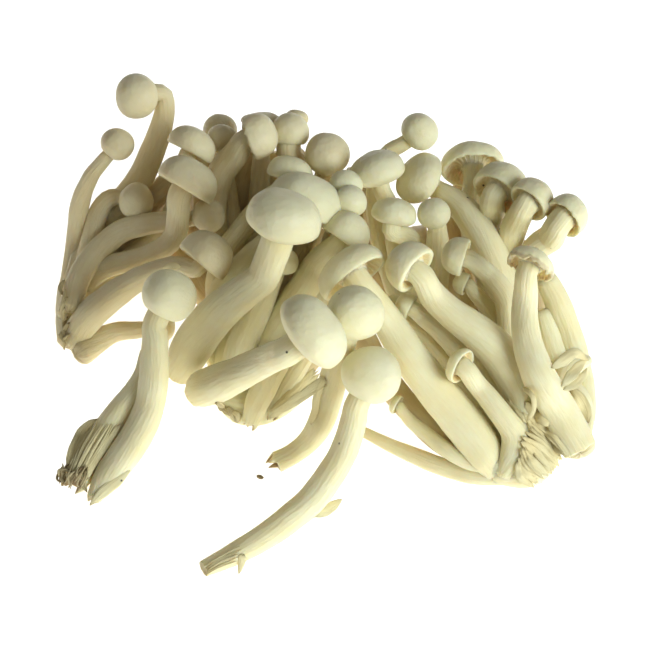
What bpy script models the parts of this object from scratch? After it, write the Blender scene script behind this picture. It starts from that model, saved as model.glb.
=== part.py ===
# White shimeji mushrooms: one bunch, pulled apart into tufts and loose stems, lying in a heap.
# Millimetres are used for every driving dimension and turned into metres when a mesh is made.
# The origin is under the middle of the heap on the surface it lies on; +X is right, +Y is away
# from the viewer, +Z is up.

import math
from collections import namedtuple

import bmesh
import bpy
import numpy as np
from mathutils import Vector

# Driving dimensions of the heap, in millimetres
MM = 0.001
SIGHT_SCALE = 0.235
SIGHT_MIDDLE = 322.5
SIGHT_TARGET = np.array([0.0, 0.0, 20.0])
SIGHT_DISTANCE = 700.0
SIGHT_ELEVATION = math.radians(50.0)
HEAP_MIDDLE = np.array([-0.33, 1.5])

# Fineness of the solids
STEM_RINGS = 7
SPINE_POINTS = 15
CURVE_STEPS = 12
LARGE_CAP = 5.2
SIDES_LARGE = 10
SIDES_SMALL = 8
# Bodies closer than this may touch, and a spine is upright where its level part is below this
NEARBY = 1.0
UPRIGHT = 0.1

# Room between a tuft and the tufts that press on it, and how much more of it corners need
NODE_GAP = 0.35
CORNER_REACH = 1.25
# How far a stem's end bulges, in stem radii
END_BULGE = 0.28

# Forms of cap: height of the dome, depth of the underside and width of the rim, in cap radii
CapForm = namedtuple("CapForm", "dome under rim")
BALL = CapForm(0.98, 0.86, 0.80)
BUTTON = CapForm(0.78, 0.42, 0.86)
TALL = CapForm(1.05, 0.20, 0.93)
HOOD = CapForm(1.00, 0.30, 0.96)
DOME = CapForm(0.84, 0.20, 0.93)
OPEN = CapForm(0.70, 0.14, 0.96)
BARE = None
# Rings of a round cap, in degrees up its side; a cap whose rim is wider than FLAT_RIM has a
# flat underside and rings at these shares of its radius, its underside and its dome instead
ROUND_RINGS = (-52, -22, 8, 38, 66)
FLAT_RIM = 0.9
UNDER_ACROSS, UNDER_SHARE = 0.60, 0.60
SIDE_SHARE = 0.25
SHOULDER_ACROSS, SHOULDER_SHARE = 0.88, 0.47
CROWN_ACROSS, CROWN_SHARE = 0.50, 0.87

# cap is (across, down, height), and stem runs from the neck to the foot as
# (across, down, height, thickness). Across and down are where the point is seen from the
# viewer's side, in sight units of SIGHT_SCALE from the top left corner of the view. facing is
# the way the cap points in that view, in degrees from the right, and how far it leans towards
# the viewer; without it a cap points along its stem.
Mushroom = namedtuple("Mushroom", "name tuft form cap radius stem facing", defaults=(None,))

HEAP = [
    # Lowest layer, hidden from the front, which carries the heap
    Mushroom("low_back_1", "back_tuft", BUTTON, (150, 228, 9), 6.5,
             [(163, 236, 9, 4.6), (185, 262, 9, 6.2), (212, 300, 7, 7.0), (246, 327, 6, 5.8)]),
    Mushroom("low_back_2", "back_tuft", DOME, (205, 196, 10), 7.2,
             [(212, 208, 10, 5.0), (224, 245, 9, 6.8), (236, 290, 7, 7.6), (256, 327, 6, 5.8)]),
    Mushroom("low_back_3", "back_tuft", BALL, (262, 182, 9), 6.2,
             [(262, 200, 9, 4.8), (262, 240, 8, 6.4), (258, 290, 7, 7.2), (262, 327, 6, 5.8)]),
    Mushroom("low_back_4", "centre_right_tuft", BARE, None, 0,
             [(328, 206, 9, 5.0), (345, 240, 9, 6.4), (372, 275, 7, 7.2), (408, 312, 6, 7.0)]),
    Mushroom("low_back_5", "centre_right_tuft", BARE, None, 0,
             [(388, 214, 10, 4.8), (396, 245, 9, 6.6), (408, 280, 7, 7.4), (418, 318, 6, 7.0)]),
    Mushroom("low_back_6", "right_back_tuft", BARE, None, 0,
             [(450, 216, 20, 6.2), (458, 244, 15, 7.0), (486, 292, 8, 7.2), (520, 345, 6, 7.0)]),
    Mushroom("low_back_7", "right_back_tuft", BARE, None, 0,
             [(524, 246, 9, 4.8), (532, 276, 8, 6.2), (536, 312, 7, 6.8), (530, 350, 6, 6.6)]),

    # Bare stems deep in the heap, which show brown between the others
    Mushroom("deep_back_left", "back_tuft", BARE, None, 0,
             [(203, 148, 29, 6.2), (206, 190, 20, 7.4), (208, 232, 13, 7.6), (222, 270, 8, 6.8),
              (248, 324, 6, 5.8)]),
    Mushroom("deep_back", "back_tuft", BARE, None, 0,
             [(251, 147, 28, 7.0), (240, 196, 19, 8.0), (230, 250, 12, 8.0), (238, 300, 8, 7.2),
              (258, 326, 6, 5.8)]),
    Mushroom("deep_back_right", "back_tuft", BARE, None, 0,
             [(270, 152, 28, 6.4), (268, 190, 21, 7.6), (262, 240, 13, 7.8), (262, 312, 7, 6.4)]),
    Mushroom("deep_centre_left", "centre_right_tuft", BARE, None, 0,
             [(360, 170, 27, 6.6), (358, 204, 20, 7.2), (368, 246, 13, 7.4), (398, 308, 7, 7.0)]),
    Mushroom("deep_centre_right", "centre_right_tuft", BARE, None, 0,
             [(372, 196, 26, 6.4), (380, 226, 20, 7.2), (392, 266, 13, 7.4), (410, 316, 7, 7.0)]),
    Mushroom("deep_centre_low", "centre_right_tuft", BARE, None, 0,
             [(414, 230, 24, 6.0), (420, 258, 18, 6.8), (422, 290, 12, 7.0), (420, 316, 7, 6.6)]),
    Mushroom("deep_gilled_left", "right_back_tuft", BARE, None, 0,
             [(466, 180, 29, 6.4), (470, 212, 23, 7.0), (486, 270, 14, 7.2), (512, 338, 7, 7.0)]),
    Mushroom("deep_gilled_right", "right_back_tuft", BARE, None, 0,
             [(505, 206, 26, 6.6), (507, 240, 18, 7.4), (510, 284, 12, 7.4), (520, 340, 7, 7.0)]),
    Mushroom("deep_left_high", "left_tuft", BARE, None, 0,
             [(176, 174, 20, 5.6), (156, 197, 16, 6.4), (126, 222, 11, 6.6), (98, 246, 8, 6.6),
              (76, 282, 6, 6.2)]),
    Mushroom("deep_left_low", "left_tuft", BARE, None, 0,
             [(198, 227, 16, 6.0), (168, 232, 12, 6.4), (136, 245, 9, 7.0), (106, 269, 7, 7.0),
              (80, 300, 5, 6.4)]),
    Mushroom("deep_middle", "centre_tuft", BARE, None, 0,
             [(325, 230, 28, 6.2), (311, 266, 22, 6.8), (296, 300, 17, 7.4), (274, 344, 11, 7.6),
              (256, 394, 6, 7.0)]),
    Mushroom("deep_middle_right", "centre_tuft", BARE, None, 0,
             [(338, 300, 18, 6.0), (326, 330, 13, 6.6), (306, 360, 9, 7.0), (284, 386, 6, 6.6)]),
    Mushroom("deep_right_high", "right_tuft", BARE, None, 0,
             [(444, 262, 22, 6.2), (461, 296, 18, 7.6), (480, 340, 14, 7.2), (490, 392, 10, 7.4),
              (504, 440, 6, 7.0)]),
    Mushroom("deep_right_low", "right_tuft", BARE, None, 0,
             [(412, 340, 16, 6.0), (432, 372, 13, 7.0), (460, 412, 9, 7.2), (492, 452, 6, 7.0)]),
    Mushroom("deep_right_front", "right_tuft", BARE, None, 0,
             [(360, 330, 17, 5.8), (380, 370, 12, 6.4), (406, 404, 9, 6.2), (442, 440, 6, 6.2),
              (488, 464, 5, 6.0)]),

    # Back row
    Mushroom("back_small_1", "back_tuft", BALL, (220, 131, 36), 4.2,
             [(222, 148, 31, 3.2), (228, 190, 22, 4.2), (236, 250, 14, 5.0), (254, 312, 7, 5.4)]),
    Mushroom("back_small_2", "back_tuft", BALL, (222, 139, 37), 3.6,
             [(222, 150, 34, 3.4), (228, 195, 25, 4.6), (238, 260, 16, 5.2), (256, 317, 7, 5.4)]),
    Mushroom("back_middle", "back_tuft", BUTTON, (262, 128, 36), 5.0,
             [(262, 146, 32, 4.0), (260, 190, 23, 5.0), (256, 250, 14, 5.6),
              (260, 317, 7, 5.6)], (90, 0.15)),
    Mushroom("back_brown", "back_tuft", BUTTON, (297, 119, 38), 2.8,
             [(296, 129, 35, 2.4), (292, 165, 26, 3.2), (278, 240, 15, 4.2),
              (268, 312, 7, 5.0)], (80, 0.1)),
    Mushroom("back_right", "back_tuft", BALL, (290, 132, 39), 4.7,
             [(296, 150, 35, 5.8), (295, 192, 25, 6.6), (276, 260, 15, 6.0),
              (266, 317, 7, 5.6)], (88, 0.2)),
    Mushroom("back_sideways", "back_tuft", TALL, (253, 137, 41), 5.5,
             [(247, 141, 39, 5.0), (234, 156, 34, 6.4), (218, 180, 28, 6.4), (214, 220, 21, 6.4),
              (224, 280, 13, 6.6), (250, 324, 7, 5.8)], (20, 0.08)),
    Mushroom("back_white", "back_tuft", BALL, (327, 155, 43), 5.4,
             [(324, 172, 38, 4.4), (314, 215, 28, 5.4), (294, 270, 17, 5.8), (272, 320, 7, 5.8)]),
    Mushroom("back_top_right", "centre_right_tuft", BALL, (419, 132, 44), 4.6,
             [(404, 143, 41, 3.6), (386, 156, 36, 4.0), (376, 196, 27, 4.8), (384, 250, 16, 5.4),
              (406, 316, 7, 5.6)]),

    # Right back tuft, with open gilled caps
    Mushroom("gilled_behind", "right_back_tuft", OPEN, (473, 167, 36), 7.6,
             [(472, 184, 31, 5.0), (470, 205, 26, 5.4), (478, 250, 17, 6.0), (500, 305, 9, 6.4),
              (522, 352, 6, 6.4)], (96, -0.5)),
    Mushroom("gilled_left", "right_back_tuft", HOOD, (500, 189, 38), 6.4,
             [(497, 199, 35, 5.8), (492, 217, 30, 6.4), (490, 255, 20, 5.8), (506, 305, 11, 6.0),
              (524, 350, 6, 6.2)], (52, -0.48)),
    Mushroom("gilled_middle", "right_back_tuft", HOOD, (531, 200, 38), 5.1,
             [(526, 210, 35, 5.6), (513, 229, 29, 6.4), (508, 262, 20, 6.0), (516, 305, 12, 6.2),
              (526, 350, 6, 6.2)], (46, -0.42)),
    Mushroom("gilled_right", "right_back_tuft", HOOD, (566, 216, 36), 5.1,
             [(564, 225, 32, 6.0), (550, 238, 28, 6.6), (532, 254, 23, 6.2), (524, 300, 13, 6.4),
              (528, 350, 6, 6.2)], (43, -0.50)),
    Mushroom("centre_tilted", "right_back_tuft", BUTTON, (422, 180, 44), 6.6,
             [(431, 184, 41, 4.8), (446, 192, 38, 5.8), (466, 213, 32, 7.2), (487, 245, 25, 7.6),
              (504, 285, 16, 7.2), (520, 345, 7, 6.6)], (148, 0.45)),

    # Caps in the middle of the back
    Mushroom("centre_hidden", "centre_right_tuft", BUTTON, (378, 173, 40), 6.6,
             [(382, 184, 36, 4.2), (392, 215, 28, 5.0), (400, 260, 18, 5.6),
              (414, 316, 8, 5.8)], (105, 0.3)),
    Mushroom("centre_flat", "centre_right_tuft", BUTTON, (394, 216, 36), 5.4,
             [(404, 226, 32, 4.2), (412, 250, 25, 5.0), (416, 285, 16, 5.6),
              (420, 320, 8, 5.8)], (78, 0.12)),
    Mushroom("centre_low_ball", "centre_right_tuft", BALL, (434, 214, 33), 3.9,
             [(437, 226, 29, 4.6), (438, 255, 22, 6.4), (434, 290, 14, 6.6), (424, 324, 7, 6.4)]),
    Mushroom("middle_small_top", "centre_tuft", BALL, (346, 186, 37), 3.9,
             [(343, 199, 33, 3.4), (334, 235, 25, 4.8), (314, 290, 16, 5.6), (276, 372, 7, 5.8)]),
    Mushroom("middle_small_low", "centre_tuft", BALL, (350, 202, 38), 4.0,
             [(345, 216, 34, 3.6), (334, 255, 26, 5.0), (312, 310, 17, 5.8), (280, 382, 7, 5.8)]),
    Mushroom("middle_ball_behind", "centre_tuft", DOME, (289, 176, 36), 5.6,
             [(280, 182, 33, 4.4), (262, 204, 28, 5.2), (244, 228, 24, 5.2), (228, 248, 21, 5.4),
              (218, 290, 15, 6.0), (234, 348, 9, 6.2), (248, 394, 6, 6.0)], (74, 0.08)),
    Mushroom("middle_wide", "centre_tuft", DOME, (304, 206, 40), 9.0,
             [(296, 220, 36, 6.0), (272, 240, 31, 6.2), (246, 262, 26, 6.0), (226, 284, 22, 5.8),
              (216, 310, 17, 6.6), (220, 352, 10, 7.8), (240, 400, 6, 6.8)], (66, 0.06)),
    Mushroom("middle_right", "centre_tuft", TALL, (344, 237, 41), 5.8,
             [(336, 242, 38, 6.2), (318, 265, 33, 7.2), (300, 292, 28, 7.2), (279, 322, 22, 7.0),
              (264, 352, 15, 6.8), (260, 402, 6, 6.6)], (57, 0.02)),
    Mushroom("middle_stem", "centre_tuft", BUTTON, (276, 262, 33), 5.2,
             [(272, 276, 30, 5.2), (258, 302, 25, 7.6), (243, 332, 19, 8.6), (234, 360, 13, 8.8),
              (235, 402, 6, 6.8)]),
    Mushroom("middle_torn_stem", "centre_tuft", BARE, None, 0,
             [(316, 340, 18, 5.0), (300, 356, 14, 6.4), (284, 384, 9, 6.6), (272, 408, 5, 5.6)]),
    Mushroom("middle_flap", "centre_tuft", BARE, None, 0,
             [(288, 346, 16, 5.0), (270, 376, 11, 6.0), (258, 400, 7, 5.8), (250, 422, 3, 4.0)]),

    # Left tuft, its feet at the left edge
    Mushroom("left_low", "left_tuft", BUTTON, (160, 325, 8), 4.2,
             [(150, 328, 7, 3.4), (138, 330, 6, 4.1), (115, 332, 5, 4.8), (96, 342, 4, 6.0),
              (81, 352, 4, 6.4)]),
    Mushroom("left_tall_back", "left_tuft", BALL, (138, 96, 42), 5.5,
             [(161, 93, 41, 4.4), (165, 110, 37, 5.2), (155, 145, 28, 6.1), (138, 182, 20, 6.6),
              (112, 216, 13, 7.0), (90, 245, 9, 7.0), (76, 284, 6, 6.6)]),
    Mushroom("left_far", "left_tuft", BALL, (117, 145, 38), 4.1,
             [(104, 160, 35, 3.4), (90, 178, 31, 4.0), (80, 205, 24, 4.7), (77, 240, 15, 5.0),
              (70, 284, 7, 4.8)]),
    Mushroom("left_button", "left_tuft", BALL, (136, 201, 25), 4.4,
             [(125, 198, 23, 3.6), (111, 198, 20, 4.4), (100, 210, 16, 4.8), (94, 232, 12, 5.0),
              (86, 262, 8, 5.0), (74, 296, 6, 5.0)]),
    Mushroom("left_behind", "left_tuft", DOME, (191, 148, 33), 5.9,
             [(188, 160, 28, 4.2), (182, 192, 22, 5.4), (166, 228, 15, 6.0), (128, 262, 9, 6.2),
              (74, 300, 6, 6.0)], (62, 0.06)),
    Mushroom("left_speckled", "left_tuft", BALL, (208, 216, 27), 4.1,
             [(196, 218, 25, 3.6), (160, 222, 19, 5.0), (124, 230, 14, 5.6), (97, 252, 11, 5.9),
              (80, 276, 9, 5.6), (70, 306, 6, 5.4)]),
    Mushroom("left_dome", "left_tuft", DOME, (186, 184, 39), 7.3,
             [(180, 192, 36, 5.4), (179, 215, 30, 5.8), (172, 241, 25, 5.2), (140, 258, 19, 4.9),
              (105, 268, 14, 5.2), (84, 288, 10, 5.4), (68, 316, 6, 5.6)], (60, -0.02)),
    Mushroom("left_front_dome", "left_tuft", TALL, (204, 260, 33), 6.5,
             [(193, 262, 31, 4.0), (165, 268, 26, 4.9), (138, 279, 22, 5.9), (114, 295, 17, 7.0),
              (92, 313, 12, 7.6), (79, 331, 7, 7.2), (72, 342, 5, 6.2)], (52, 0.0)),

    # Right front tuft, its feet at the lower right
    Mushroom("right_thin_low", "right_tuft", BARE, None, 0,
             [(356, 428, 1, 2.2), (390, 445, 1, 3.2), (420, 458, 1, 4.0), (450, 469, 1, 4.2),
              (480, 476, 2, 4.2), (508, 474, 3, 5.0)]),
    Mushroom("right_small_low", "right_tuft", OPEN, (397, 405, 11), 2.4,
             [(401, 411, 10, 2.4), (414, 424, 8, 3.0), (430, 437, 7, 3.4), (447, 450, 7, 3.6),
              (467, 461, 6, 3.8), (500, 466, 6, 4.6)], (150, -0.25)),
    Mushroom("right_shaded", "right_tuft", BUTTON, (392, 308, 24), 3.2,
             [(401, 314, 22, 3.4), (418, 330, 19, 4.4), (440, 352, 16, 4.8), (470, 392, 11, 5.4),
              (504, 444, 7, 6.0)], (150, 0.1)),
    Mushroom("right_gilled_low", "right_tuft", TALL, (409, 307, 30), 3.1,
             [(411, 307, 28, 3.6), (428, 320, 25, 4.6), (446, 336, 22, 4.8), (470, 366, 17, 5.2),
              (498, 410, 11, 5.8), (522, 448, 7, 6.0)], (152, -0.1)),
    Mushroom("right_back_small", "right_tuft", TALL, (465, 284, 31), 2.7,
             [(466, 287, 29, 3.2), (480, 298, 26, 3.8), (491, 316, 23, 4.2), (502, 345, 18, 4.8),
              (510, 392, 11, 5.6), (520, 440, 6, 6.0)], (157, -0.15)),
    Mushroom("right_back_dome", "right_tuft", TALL, (462, 257, 35), 4.5,
             [(464, 259, 33, 4.2), (482, 269, 30, 4.6), (497, 284, 27, 5.2), (507, 302, 24, 5.6),
              (511, 340, 17, 5.8), (518, 390, 10, 6.0), (528, 440, 6, 6.2)], (163, -0.1)),
    Mushroom("right_strip", "right_tuft", BARE, None, 0,
             [(470, 350, 22, 3.0), (484, 367, 19, 3.8), (498, 385, 16, 4.0), (514, 408, 13, 4.4),
              (530, 440, 8, 5.0)]),
    Mushroom("right_open_back", "right_tuft", TALL, (413, 269, 41), 6.0,
             [(414, 274, 38, 5.8), (430, 292, 34, 6.4), (450, 312, 30, 7.0), (471, 327, 27, 7.8),
              (492, 345, 23, 8.8), (510, 368, 18, 9.2), (520, 398, 11, 7.6),
              (524, 436, 6, 7.0)], (143, -0.35)),
    Mushroom("right_dome_front", "right_tuft", OPEN, (461, 366, 27), 4.2,
             [(466, 372, 25, 4.4), (482, 390, 21, 4.9), (500, 412, 17, 5.4), (514, 434, 12, 6.0),
              (513, 456, 8, 6.2), (504, 473, 5, 5.0)], (148, -0.45)),
    Mushroom("right_open_front", "right_tuft", OPEN, (353, 275, 41), 8.4,
             [(366, 282, 38, 6.6), (378, 302, 35, 6.8), (391, 327, 31, 7.6), (411, 358, 26, 8.4),
              (432, 385, 21, 9.2), (453, 411, 16, 9.8), (471, 433, 12, 9.8), (485, 456, 8, 8.4),
              (494, 472, 5, 5.0)], (125, -0.25)),

    # Right edge tuft
    Mushroom("edge_stem_left", "edge_tuft", BARE, None, 0,
             [(545, 277, 30, 4.8), (557, 300, 25, 6.0), (568, 330, 18, 6.4), (577, 362, 12, 6.6),
              (582, 405, 7, 6.8), (578, 436, 5, 6.0)]),
    Mushroom("edge_stem_small", "edge_tuft", BARE, None, 0,
             [(542, 310, 22, 3.2), (549, 332, 18, 4.6), (556, 356, 14, 5.2), (567, 394, 9, 5.6),
              (575, 430, 6, 5.8)]),
    Mushroom("edge_flap_upper", "edge_tuft", BARE, None, 0,
             [(588, 360, 8, 2.4), (580, 363, 9, 4.4), (568, 368, 10, 5.0), (562, 382, 9, 4.0),
              (568, 404, 6, 4.4)]),
    Mushroom("edge_flap_lower", "edge_tuft", BARE, None, 0,
             [(572, 386, 6, 4.0), (581, 400, 5, 4.6), (586, 418, 3, 4.0), (582, 436, 3, 4.4)]),
    Mushroom("edge_torn_cap", "edge_tuft", OPEN, (530, 266, 42), 5.6,
             [(526, 272, 39, 5.2), (526, 292, 35, 5.9), (525, 320, 30, 6.3), (530, 350, 25, 7.2),
              (541, 380, 20, 8.0), (557, 406, 12, 8.4), (570, 431, 6, 9.0),
              (580, 449, 3, 8.2)], (64, -0.3)),

    # Loose mushrooms along the front
    Mushroom("middle_large", "loose_large", BUTTON, (283, 222, 45), 8.9,
             [(284, 240, 40, 7.8), (274, 264, 34, 7.6), (253, 285, 29, 7.8), (229, 303, 23, 8.8),
              (209, 322, 16, 9.6), (195, 342, 9, 9.9), (185, 361, 4, 9.0),
              (178, 372, 1, 7.4)], (74, 0.4)),
    Mushroom("front_torn_foot", "front_left_pair", BARE, None, 0,
             [(150, 352, 20, 4.4), (142, 382, 16, 5.4), (124, 408, 12, 6.4), (104, 436, 7, 7.2),
              (87, 462, 3, 7.0), (75, 480, 2, 6.4)]),
    Mushroom("front_left", "front_left_pair", BALL, (169, 297, 34), 6.4,
             [(157, 320, 30, 5.6), (155, 350, 25, 6.3), (154, 380, 20, 6.8), (150, 406, 15, 7.1),
              (140, 431, 11, 7.4), (124, 456, 7, 7.4), (107, 478, 3, 6.4), (94, 498, 1, 3.6)]),
    Mushroom("front_ball_curled", "loose_curled", BALL, (355, 314, 36), 6.5,
             [(346, 338, 30, 5.4), (335, 372, 22, 6.2), (328, 402, 15, 6.2), (320, 425, 10, 5.9),
              (309, 441, 5, 5.4), (293, 454, 2, 4.9), (277, 462, 1, 5.0)]),
    Mushroom("front_dome", "loose_dome", BUTTON, (309, 335, 38), 9.2,
             [(290, 349, 34, 6.6), (268, 360, 27, 7.0), (241, 373, 20, 8.0), (217, 384, 13, 9.0),
              (201, 389, 7, 8.8)], (38, 0.12)),
    Mushroom("front_long", "loose_long", BALL, (371, 376, 30), 6.9,
             [(357, 404, 24, 5.4), (351, 430, 19, 6.1), (343, 453, 15, 6.4), (330, 475, 11, 6.6),
              (312, 499, 7, 6.6), (290, 518, 4.5, 6.4), (267, 535, 3.5, 5.9), (240, 551, 2, 5.2),
              (220, 561, 1, 4.4), (204, 569, 1, 3.6)]),
]

# The roots that hold each tuft together: (across, down, height, thickness)
ROOTS = {
    "left_tuft": [(74, 276, 4, 6.0), (72, 296, 3, 8.0), (72, 318, 3, 8.0),
                  (72, 338, 3, 7.0)],
    "back_tuft": [(242, 318, 3, 5.0), (256, 324, 3, 6.6), (272, 320, 3, 5.4)],
    "centre_right_tuft": [(402, 308, 4, 5.6), (414, 320, 4, 7.0), (428, 328, 4, 5.0)],
    "right_back_tuft": [(514, 344, 4, 5.6), (524, 352, 4, 7.0), (538, 356, 4, 5.0)],
    "centre_tuft": [(226, 398, 3, 6.0), (240, 405, 4, 8.6), (258, 405, 4, 9.6), (278, 397, 4, 9.0),
                    (300, 384, 4, 6.6)],
    "right_tuft": [(494, 468, 4, 7.0), (510, 466, 5, 9.6), (528, 462, 5, 11.4), (543, 453, 4, 9.0),
                   (550, 450, 3, 6.0)],
    "edge_tuft": [(566, 418, 3, 5.0), (574, 432, 3, 7.0), (578, 446, 3, 8.0)],
}

# Settling: how firmly the mushrooms lie on each other
SETTLE_ROUNDS = 160
SAME_TUFT_PRESS = 0.90
OTHER_TUFT_GAP = 0.9
ROOT_PART = 0.62
SEAT = 0.5
STEP_SHARE = 0.9
STIFFNESS = 0.25
FLAT_CAP_PART = 0.55
# How far under the cap's rim the stem meets its axis, and where it starts to turn that way
NECK_BELOW = 0.22
NECK_CLEAR = 1.35
NECK_KEPT = 4

# How the stem's end sits in the cap, in cap radii
THROAT_WIDTH = 0.62
THROAT_DEPTH = 0.92
STEM_STOP = 1.02
LEAST_STOP = 0.3

# Colour from the photograph, linear
FLESH = (0.80, 0.77, 0.52)
FLESH_ROUGHNESS = 0.55

EYE = SIGHT_TARGET + SIGHT_DISTANCE * np.array(
    [0.0, -math.cos(SIGHT_ELEVATION), math.sin(SIGHT_ELEVATION)])
SIGHT_UP = np.array([0.0, math.sin(SIGHT_ELEVATION), math.cos(SIGHT_ELEVATION)])


def place(across, down, height):
    """The point at a height above the table that is seen at (across, down)."""
    point = SIGHT_TARGET + SIGHT_UP * (SIGHT_MIDDLE - down) * SIGHT_SCALE
    point = point + np.array([(across - SIGHT_MIDDLE) * SIGHT_SCALE, 0.0, 0.0])
    reach = (EYE[2] - height) / (EYE[2] - point[2])
    return EYE + reach * (point - EYE)


def smooth_route(points, count):
    """Evenly spaced points on a smooth curve through the given ones (any number of columns)."""
    points = np.asarray(points, float)
    padded = np.vstack([2 * points[0] - points[1], points, 2 * points[-1] - points[-2]])
    fine = []
    for i in range(1, len(padded) - 2):
        a, b, c, d = padded[i - 1:i + 3]
        for t in np.linspace(0.0, 1.0, CURVE_STEPS, endpoint=False):
            fine.append(0.5 * (2 * b + (c - a) * t + (2 * a - 5 * b + 4 * c - d) * t ** 2
                               + (3 * b - a - 3 * c + d) * t ** 3))
    fine.append(points[-1])
    fine = np.array(fine)
    steps = np.linalg.norm(np.diff(fine[:, :3], axis=0), axis=1)
    length = np.concatenate([[0.0], np.cumsum(steps)])
    wanted = np.linspace(0.0, length[-1], count)
    return np.column_stack([np.interp(wanted, length, fine[:, k]) for k in range(fine.shape[1])])


class Body:
    """One mushroom, or one root, as a spine of points with radii and, where it has one, a cap."""

    def __init__(self, name, tuft, form, cap, radius, stem, facing=None, is_root=False):
        self.name, self.tuft, self.form, self.radius = name, tuft, form, radius
        self.facing, self.is_root = facing, is_root
        route = [[*place(across, down, height), thickness / 2]
                 for across, down, height, thickness in stem]
        route = smooth_route(route, SPINE_POINTS)
        self.spine, self.radii = route[:, :3], route[:, 3]
        self.cap = None if cap is None else place(*cap)

    def balls(self):
        """The points and radii that settling works on, from the cap down to the foot."""
        if self.cap is None:
            return self.spine, self.radii
        size = self.radius * (FLAT_CAP_PART + (1 - FLAT_CAP_PART) * self.form.dome)
        return np.vstack([self.cap, self.spine]), np.concatenate([[size], self.radii])

    def take(self, points):
        """Takes its settled place back."""
        if self.cap is None:
            self.spine = points
        else:
            self.cap, self.spine = points[0], points[1:]
            self.join_neck()

    def join_neck(self):
        """Turns the cap the way it faces and leads the stem's end onto its axis."""
        axis = self.cap - self.spine[0]
        if self.facing is not None:
            turn, toward = math.radians(self.facing[0]), self.facing[1]
            axis = np.array([math.cos(turn), 0.0, 0.0]) + math.sin(turn) * SIGHT_UP
            axis = axis * math.sqrt(1 - toward ** 2) + toward * (EYE - SIGHT_TARGET) / SIGHT_DISTANCE
        self.axis = axis / np.linalg.norm(axis)
        neck = self.cap - self.axis * self.radius * (self.form.under + NECK_BELOW)
        away = np.linalg.norm(self.spine - self.cap, axis=1) > NECK_CLEAR * self.radius
        away[-NECK_KEPT:] = True
        route = np.column_stack([self.spine, self.radii])
        route = np.vstack([[*neck, self.radii[0]], route[away]])
        route = smooth_route(route, SPINE_POINTS)
        self.spine, self.radii = route[:, :3], route[:, 3]


def settle(bodies):
    """Moves the bodies towards or away from the eye until they lie on, not in, each other.

    Each one lies in front of those listed before it. Only the distance from the eye changes,
    so each stays where it is seen.
    """
    points, radii, owner, along = [], [], [], []
    for number, body in enumerate(bodies):
        at, size = body.balls()
        points.append(at)
        radii.append(size)
        owner.append(np.full(len(at), number))
        along.append(np.linspace(0.0, 1.0, len(at)))
    starts = np.concatenate([[0], np.cumsum([len(p) for p in points])])
    points, radii = np.vstack(points), np.concatenate(radii)
    owner, along = np.concatenate(owner), np.concatenate(along)
    tufts = np.array([b.tuft for b in bodies])[owner]
    roots = np.array([b.is_root for b in bodies])[owner]
    away = points - EYE
    distance = np.linalg.norm(away, axis=1)
    ray = away / distance[:, None]
    start = distance.copy()
    floor = (EYE[2] - (radii - SEAT)) / -ray[:, 2]

    # Pairs that can touch: a lies in front of b
    seen = ray / -(ray @ ((SIGHT_TARGET - EYE) / SIGHT_DISTANCE))[:, None] * -SIGHT_DISTANCE
    apart = np.linalg.norm(seen[:, None, :] - seen[None, :, :], axis=2)
    same = tufts[:, None] == tufts[None, :]
    reach = radii[:, None] + radii[None, :]
    reach = np.where(same, reach * SAME_TUFT_PRESS, reach + OTHER_TUFT_GAP)
    fused = same & (((along[:, None] > ROOT_PART) & (along[None, :] > ROOT_PART))
                    | roots[:, None] | roots[None, :])
    touch = (apart < reach) & (owner[:, None] > owner[None, :]) & ~fused
    front, behind = np.nonzero(touch)
    needed = np.sqrt(reach[touch] ** 2 - apart[touch] ** 2)

    for _ in range(SETTLE_ROUNDS):
        short = needed - (distance[behind] - distance[front])
        short = np.maximum(short, 0.0) / 2
        forward, back = np.zeros(len(points)), np.zeros(len(points))
        np.maximum.at(forward, front, short)
        np.maximum.at(back, behind, short)
        distance += (back - forward) * STEP_SHARE
        distance = np.minimum(distance, floor)
        moved = distance - start
        for first, last in zip(starts[:-1], starts[1:]):
            part = moved[first:last]
            ends = np.concatenate([[part[0]], part, [part[-1]]])
            beside = ends[:-2] + ends[2:]
            moved[first:last] = (1 - 2 * STIFFNESS) * part + STIFFNESS * beside
        distance = np.minimum(start + moved, floor)
    points = EYE + ray * distance[:, None]
    for body, first, last in zip(bodies, starts[:-1], starts[1:]):
        body.take(points[first:last])


def frames_along(spine):
    """Two side directions at each point of a spine, turned as little as possible on the way."""
    tangents = np.gradient(spine, axis=0)
    tangents /= np.linalg.norm(tangents, axis=1)[:, None]
    side = np.cross(tangents[0], [0.0, 0.0, 1.0])
    if np.linalg.norm(side) < UPRIGHT:
        side = np.cross(tangents[0], [1.0, 0.0, 0.0])
    sides = []
    for tangent in tangents:
        side = side - tangent * (side @ tangent)
        side = side / np.linalg.norm(side)
        sides.append(side)
    sides = np.array(sides)
    return sides, np.cross(tangents, sides)


def cap_profile(form):
    """Radius and height, in cap radii, from the underside to near the top."""
    if form.rim < FLAT_RIM:
        angles = [math.radians(a) for a in ROUND_RINGS]
        return [(math.cos(a), math.sin(a) * (form.dome if a > 0 else form.under))
                for a in angles]
    return [(UNDER_ACROSS, -UNDER_SHARE * form.under), (form.rim, -form.under),
            (1.0, -SIDE_SHARE * form.under), (SHOULDER_ACROSS, SHOULDER_SHARE * form.dome),
            (CROWN_ACROSS, CROWN_SHARE * form.dome)]


def cap_outline(body, neck, grow):
    """Radius and height of the cap's rings in millimetres, from its throat to its top."""
    form, size = body.form, body.radius
    outline = [(min(neck, THROAT_WIDTH * size), -THROAT_DEPTH * form.under * size)]
    outline += [(across * size, height * size) for across, height in cap_profile(form)]
    outline = np.array(outline + [(0.0, form.dome * size)])
    slope = np.gradient(outline, axis=0)
    outward = np.column_stack([slope[:, 1], -slope[:, 0]])
    outward /= np.linalg.norm(outward, axis=1)[:, None]
    return outline + outward * grow * CORNER_REACH


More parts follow.
